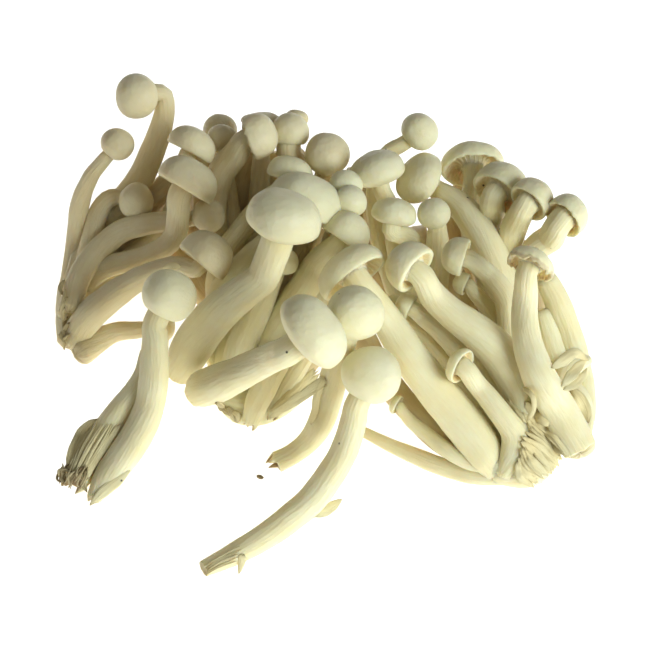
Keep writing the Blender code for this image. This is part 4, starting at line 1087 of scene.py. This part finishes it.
def make_piece(name, shape, tuft, age=0.0):
    """One mesh piece, in metres, that rides on the heap and stands in for its tuft's solid."""
    mesh = bpy.data.meshes.new(name)
    mesh.from_pydata((np.array(shape.points) * MM).tolist(), [], shape.faces)
    for finish in finishes:
        mesh.materials.append(finish)
    mesh.polygons.foreach_set("material_index", shape.finish)
    # The stored brown value holds both ageing and painted shade
    for what, kind, field, values in (("grain", "FLOAT_VECTOR", "vector", shape.grain),
                                      ("wear", "FLOAT", "value", shape.wear),
                                      ("age", "FLOAT", "value", [age] * len(shape.points))):
        attribute = mesh.attributes.new(what, kind, "POINT")
        attribute.data.foreach_set(field, np.array(values, np.float32).ravel())
    mesh.shade_smooth()
    mesh.update()
    piece = add_object(name, mesh)
    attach(piece, "root")
    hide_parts(tuft)
    return piece


def foot_of(name):
    """The way the foot of a mushroom ends."""
    return next((foot for foot, names in FEET.items() if name in names), "round")


def age_and_shade_of(body, random):
    """How brown one mushroom is painted: the stems deep in the heap get the most, as painted shade.
    """
    # The deep and lowest stems take the painted shade brown
    deep = body.name.startswith(("deep_", "low_"))
    return max(0.0, (DEEP_PAINTED_SHADE if deep else TUFT_AGE_AND_SHADE.get(body.tuft, 0.0))
               + random.uniform(-AGE_AND_SHADE_SPREAD, AGE_AND_SHADE_SPREAD))


grown = []
for body in bodies:
    random = seeded(body.name)
    shape = Shape()
    add_stem(shape, body, random, foot_of(body.name))
    if body.cap is not None:
        add_cap(shape, body, random, RAGGED_CAPS.get(body.name, 0.0))
    grown.append((body.name if body.is_root else "mushroom_" + body.name, shape, body.tuft,
                  age_and_shade_of(body, random)))
pieces = [make_piece(*one) for one in grown]
print(len(pieces), "pieces")

# %% [markdown]
# Where stems were pulled apart, strips of skin and threads of the root hang on. Each strip is
# given by the line along which it is seen. It is laid over the mushrooms like a wet ribbon: it
# rests on what is nearest to the viewer and sinks only slowly between two things that carry it.

# %% Torn strips and threads
DRAPE_SLOPE = 0.6
STRIP_SIDES = 16
STRIP_ROWS = 22
START_TAPER, END_TAPER, TAPER_ROUND, TIP = 0.10, 0.14, 0.6, 0.01
FRAY_ORDERS, FRAY = (1, 2, 3, 5), 0.9
FRAYED_START, FRAYED_END, FRAY_STEEPNESS = 0.15, 0.8, 3
RUFFLE_TURN, RUFFLE_SKEW = 7, 1.6
STRIP_GRAIN_AROUND, STRIP_GRAIN_ALONG = 3.0, 0.1
END_WEAR, END_WEAR_POWER = 0.5, 6
BUNDLE_SHIFT, BUNDLE_LIFT = 0.3, 0.3
BUNDLE_WIDTHS, BUNDLE_WEARS = (0.7, 1.3), (-0.15, 0.25)

shapes = [one[1] for one in grown]
firsts = np.cumsum([0] + [len(shape.points) for shape in shapes])
everything = BVHTree.FromPolygons(
    [tuple(point) for shape in shapes for point in shape.points],
    [tuple(first + corner for corner in face)
     for first, shape in zip(firsts, shapes) for face in shape.faces])


def drape(route, count):
    """Points over what is seen along a route of (across, down, lift), and the sight lines."""
    fine = smooth_route(route, count)
    eye = EYE - HEAP_MIDDLE
    rays = np.array([place(across, down, 0.0) - HEAP_MIDDLE for across, down, _ in fine]) - eye
    depth = np.linalg.norm(rays, axis=1)
    rays = rays / depth[:, None]
    for i, ray in enumerate(rays):
        hit_depth = everything.ray_cast(Vector(eye), Vector(ray))[3]
        if hit_depth is not None:
            depth[i] = min(depth[i], hit_depth)
    steps = np.linalg.norm(np.diff(fine[:, :2], axis=0), axis=1) * SIGHT_SCALE
    along = np.concatenate([[0.0], np.cumsum(steps)])
    apart = np.abs(along[:, None] - along[None, :])
    depth = (depth[None, :] + DRAPE_SLOPE * apart).min(axis=1) - fine[:, 2]
    return eye + rays * depth[:, None], rays


def add_strip(shape, random, width, thickness, route, wear=0.3, ruffle=0.0):
    """A flat strip of skin or a thread along a route, ragged at both ends.

    The width is one number, or several from its start to its end.
    """
    spine, rays = drape(route, STRIP_ROWS)
    along = np.linspace(0, 1, STRIP_ROWS)
    broad = np.interp(along, np.linspace(0, 1, np.size(width)), np.atleast_1d(width))
    near_end = np.minimum((along + TIP) / START_TAPER, (1 + TIP - along) / END_TAPER)
    taper = np.minimum(1.0, near_end) ** TAPER_ROUND
    angles = ring_angles(STRIP_SIDES)
    ragged = waves(angles, random, FRAY_ORDERS, FRAY)
    phase = random.uniform(0, 2 * math.pi)
    tangents = unit(np.gradient(spine, axis=0))
    grid = []
    for i, t in enumerate(along):
        side = unit(np.cross(tangents[i], rays[i]))
        toward = np.cross(tangents[i], side)
        wave = ruffle * np.sin(phase + RUFFLE_TURN * t + RUFFLE_SKEW * np.cos(angles))
        wave = wave * broad[i] * taper[i]
        frayed = max(0.0, t - FRAYED_END) - max(0.0, FRAYED_START - t)
        frayed = ragged * broad[i] * frayed * FRAY_STEEPNESS
        grid.append(spine[i] + np.outer(np.cos(angles) * broad[i] / 2 * taper[i], side)
                    + np.outer(np.sin(angles) * thickness / 2 * taper[i] + wave, toward)
                    + np.outer(frayed, tangents[i]))
    length = np.linalg.norm(np.diff(spine, axis=0), axis=1).sum()
    around = np.column_stack([np.cos(angles), np.sin(angles)]) * STRIP_GRAIN_AROUND
    grain = np.array([np.column_stack([around, np.full(STRIP_SIDES, far)])
                      for far in along * length * STRIP_GRAIN_ALONG])
    from_middle = np.abs(along - 0.5) * 2
    wear = wear + END_WEAR * from_middle ** END_WEAR_POWER
    shape.add_grid(on_table(grid), [SHRED] * STRIP_ROWS, grain,
                   np.repeat(wear[:, None], STRIP_SIDES, axis=1), random)


def add_bundle(shape, random, first, last, count, width, thickness, wear, scatter):
    """Many strips side by side between two routes."""
    first, last = np.array(first, float), np.array(last, float)
    for k in range(count):
        t = (k + random.uniform(-BUNDLE_SHIFT, BUNDLE_SHIFT)) / max(1, count - 1)
        t = min(1.0, max(0.0, t))
        route = first * (1 - t) + last * t
        route[:, :2] += random.uniform(-scatter, scatter, (len(route), 2))
        route[:, 2] += random.uniform(0.0, BUNDLE_LIFT) * scatter
        add_strip(shape, random, np.array(width) * random.uniform(*BUNDLE_WIDTHS), thickness,
                  route, wear + random.uniform(*BUNDLE_WEARS))


# Each strip: its tuft, width, thickness, wear, ruffle, and its route (across, down, lift)
STRIPS = {
    "curled_strand": ("right_tuft", 1.2, 0.8, 0.25, 0.0,
                      [(523, 388, 0.5), (531, 394, 2.2), (534, 402, 3.0), (533, 411, 1.8),
                       (527, 420, 0.3)]),
    "root_shred_broad": ("right_tuft", [1.2, 2.6, 1.4], 0.9, 0.3, 0.08,
                         [(530, 414, 0.4), (539, 418, 1.4), (549, 425, 0.6)]),
    "root_web": ("right_tuft", [2.0, 4.4, 3.0], 1.0, 0.1, 0.05,
                 [(526, 402, 0.2), (537, 417, 0.2), (552, 438, 0.2)]),
    "edge_leaf_top": ("edge_tuft", [1.2, 2.8, 2.4, 0.6], 0.5, 0.2, 0.10,
                      [(552, 368, 0.4), (563, 361, 1.4), (575, 353, 2.0), (589, 361, 1.2)]),
    "edge_leaf_long": ("edge_tuft", [1.0, 2.6, 2.2, 0.5], 0.5, 0.1, 0.10,
                       [(562, 386, 0.4), (571, 376, 1.4), (579, 366, 1.8), (588, 357, 1.4)]),
    "edge_leaf_low": ("edge_tuft", [1.0, 2.2, 1.8, 0.5], 0.5, 0.1, 0.08,
                      [(564, 390, 0.4), (573, 385, 1.2), (582, 377, 1.2), (587, 368, 0.8)]),
    "edge_leaf_brown": ("edge_tuft", [1.5, 3.0, 3.2, 1.6], 0.5, 0.65, 0.12,
                        [(570, 388, 0.4), (578, 397, 1.0), (584, 408, 0.9), (588, 422, 0.3)]),
    "ball_scrap": ("front_left_pair", [0.8, 1.9, 1.0], 0.7, 0.05, 0.12,
                   [(163, 269, 0.2), (171, 266, 0.7), (181, 266, 0.3)]),
    "curled_skin": ("loose_curled", [1.2, 1.8, 1.4], 0.7, 0.35, 0.0,
                    [(325, 378, 0.3), (317, 396, 0.6), (315, 410, 0.5), (311, 424, 0.3)]),
    "left_skin_outer": ("front_left_pair", [1.5, 3.6, 3.2, 1.6], 0.4, 0.35, 0.06,
                        [(97, 419, 0.3), (86, 430, 0.5), (76, 448, 0.5), (67, 468, 0.2)]),
    "left_skin_inner": ("front_left_pair", [0.8, 1.8, 2.0, 1.2], 0.5, 0.45, 0.0,
                        [(121, 424, 0.4), (107, 443, 0.6), (94, 462, 0.6), (84, 482, 0.3)]),
    "left_foot_fold": ("front_left_pair", [0.8, 2.8, 2.6, 1.0], 0.8, 0.1, 0.0,
                       [(130, 470, 0.2), (117, 481, 0.3), (102, 493, 0.3), (90, 505, 0.2)]),
    "long_flake": ("loose_long", [0.6, 2.4, 2.2, 0.8], 0.7, 0.15, 0.0,
                   [(342, 499, 0.4), (334, 505, 0.6), (325, 512, 0.5), (315, 517, 0.2)]),
    "fallen_crumb": ("loose_long", [0.7, 1.1, 0.7], 0.7, 1.4, 0.0,
                     [(257, 476, 0.3), (260, 477, 0.3), (263, 478, 0.3)]),
    "long_tab": ("loose_long", [2.4, 1.6, 0.5], 0.7, 0.3, 0.0,
                 [(243, 555, 0.2), (241, 565, 0.3), (239, 574, 0.2)]),
}
# Each bundle: its tuft, how many strips, their width, thickness, wear and scatter, and its
# first and last route
BUNDLES = {
    "right_root_block": ("right_tuft", 22, [1.0, 2.0, 0.9], 0.5, -0.15, 3.0,
                         [(529, 418, 0.2), (547, 434, 0.6), (568, 455, 0.3)],
                         [(516, 466, 0.2), (523, 476, 0.6), (534, 486, 0.3)]),
    "right_root_fibres": ("right_tuft", 8, [0.6, 1.1, 0.6], 0.6, -0.1, 2.6,
                          [(503, 399, 0.3), (511, 409, 0.9), (520, 418, 0.3)],
                          [(531, 418, 0.3), (537, 425, 0.9), (541, 434, 0.3)]),
    "middle_strands": ("centre_tuft", 12, [0.6, 1.3, 0.9], 0.6, 0.2, 1.8,
                       [(314, 368, 0.1), (298, 384, 0.2), (273, 408, 0.1)],
                       [(328, 384, 0.1), (308, 397, 0.2), (270, 418, 0.1)]),
    "middle_crumbs": ("centre_tuft", 6, [0.9, 1.5, 0.9], 1.0, 0.9, 2.0,
                      [(216, 402, 0.2), (219, 404, 0.4), (222, 406, 0.2)],
                      [(234, 411, 0.2), (237, 417, 0.4), (239, 424, 0.2)]),
    "root_streaks": ("right_tuft", 9, [0.3, 0.7, 0.3], 0.5, 0.4, 2.6,
                     [(534, 424, 0.9), (550, 438, 1.3), (563, 452, 0.8)],
                     [(520, 452, 0.9), (529, 465, 1.3), (538, 478, 0.8)]),
    "long_foot_fibres": ("loose_long", 6, [0.2, 0.45, 0.3], 0.3, 0.5, 1.2,
                         [(241, 546, 0.1), (221, 556, 0.2), (205, 565, 0.1)],
                         [(238, 560, 0.1), (221, 567, 0.2), (206, 575, 0.1)]),
    "left_film": ("front_left_pair", 15, [0.25, 0.55, 0.35], 0.3, 0.15, 1.4,
                  [(90, 422, 0.1), (78, 446, 0.4), (67, 472, 0.2)],
                  [(119, 424, 0.1), (103, 450, 0.4), (85, 478, 0.2)]),
    "left_threads": ("front_left_pair", 22, [0.25, 0.6, 0.3], 0.5, 1.0, 5.0,
                     [(64, 466, 0.2), (59, 474, 0.6), (58, 483, 0.2)],
                     [(90, 470, 0.3), (87, 480, 0.8), (84, 489, 0.2)]),
    "left_root_frill": ("left_tuft", 9, [0.5, 1.0, 0.5], 0.7, 0.8, 2.0,
                        [(66, 282, 0.2), (62, 288, 0.4), (60, 295, 0.2)],
                        [(68, 334, 0.2), (63, 341, 0.4), (64, 348, 0.2)]),
}

for name, (tuft, width, thickness, wear, ruffle, route) in STRIPS.items():
    shape = Shape()
    add_strip(shape, seeded(name), width, thickness, route, wear, ruffle)
    pieces.append(make_piece(name, shape, tuft))
for name, (tuft, count, width, thickness, wear, scatter, first, last) in BUNDLES.items():
    shape = Shape()
    add_bundle(shape, seeded(name), first, last, count, width, thickness, wear, scatter)
    pieces.append(make_piece(name, shape, tuft))
print(len(pieces), "pieces,", sum(len(p.data.loops) - 2 * len(p.data.polygons) for p in pieces),
      "triangles")

# %% [markdown]
# The heap lies on a plain white table in soft daylight. The main light stands low on the
# viewer's side, to the right, because the caps are brightest there. A second light shines on
# the table alone. It keeps the table white to its edges, and the table fills the heap's shaded
# sides from below. One strong light for both would leave the mushrooms too pale.

# %% Table and light
TABLE_HALF = 6
TABLE_WHITE, TABLE_ROUGHNESS = (0.92, 0.92, 0.91, 1), 0.7
SKY_WHITE, SKY_STRENGTH = (1.0, 1.0, 1.0, 1), 0.18


def turn_towards(made, aim):
    """Turns a light or camera so that it looks at a point."""
    made.rotation_euler = (Vector(aim) - made.location).to_track_quat("-Z", "Y").to_euler()


def area_light(name, at, aim, width, power, colour):
    """A square soft light in metres, aimed at a point."""
    data = bpy.data.lights.new(name, "AREA")
    data.size = width
    data.energy = power
    data.color = colour
    made = add_object(name, data)
    made.location = at
    turn_towards(made, aim)
    return made


floor_mesh = bpy.data.meshes.new("table top")
corners = [(-TABLE_HALF, -TABLE_HALF, 0), (TABLE_HALF, -TABLE_HALF, 0),
           (TABLE_HALF, TABLE_HALF, 0), (-TABLE_HALF, TABLE_HALF, 0)]
floor_mesh.from_pydata(corners, [], [(0, 1, 2, 3)])
floor = add_object("table", floor_mesh)
white = bpy.data.materials.new("white table")
white.use_nodes = True
white.node_tree.nodes["Principled BSDF"].inputs["Base Color"].default_value = TABLE_WHITE
white.node_tree.nodes["Principled BSDF"].inputs["Roughness"].default_value = TABLE_ROUGHNESS
floor_mesh.materials.append(white)

area_light("window", at=(0.86, -0.72, 0.60), aim=(0, 0, 0.02), width=0.7, power=13.5,
           colour=(0.90, 1.0, 1.07))
table_light = area_light("table light", at=(-0.1, 0.1, 1.3), aim=(0, 0, 0), width=1.6, power=27,
                         colour=(1.0, 1.0, 0.98))
only_table = bpy.data.collections.new("only the table")
only_table.objects.link(floor)
table_light.light_linking.receiver_collection = only_table
table_light.light_linking.blocker_collection = only_table
world = bpy.data.worlds.new("studio")
bpy.context.scene.world = world
world.use_nodes = True
world.node_tree.nodes["Background"].inputs["Color"].default_value = SKY_WHITE
world.node_tree.nodes["Background"].inputs["Strength"].default_value = SKY_STRENGTH
print("table and two lights")

# %% [markdown]
# The camera stands where the photographer held theirs: about seventy centimetres away and fifty
# degrees above the table, with a narrow view.

# %% Camera
SENSOR_WIDTH = 36.0

camera_data = bpy.data.cameras.new("camera")
camera_data.sensor_width = SENSOR_WIDTH
camera_data.lens = SENSOR_WIDTH / 2 / (SIGHT_MIDDLE * SIGHT_SCALE / SIGHT_DISTANCE)
camera = add_object("camera", camera_data)
camera.location = Vector((EYE - HEAP_MIDDLE) * MM)
turn_towards(camera, (SIGHT_TARGET - HEAP_MIDDLE) * MM)
bpy.context.scene.camera = camera
bpy.context.scene.view_settings.view_transform = "Standard"
print("lens", round(camera_data.lens, 1), "mm")
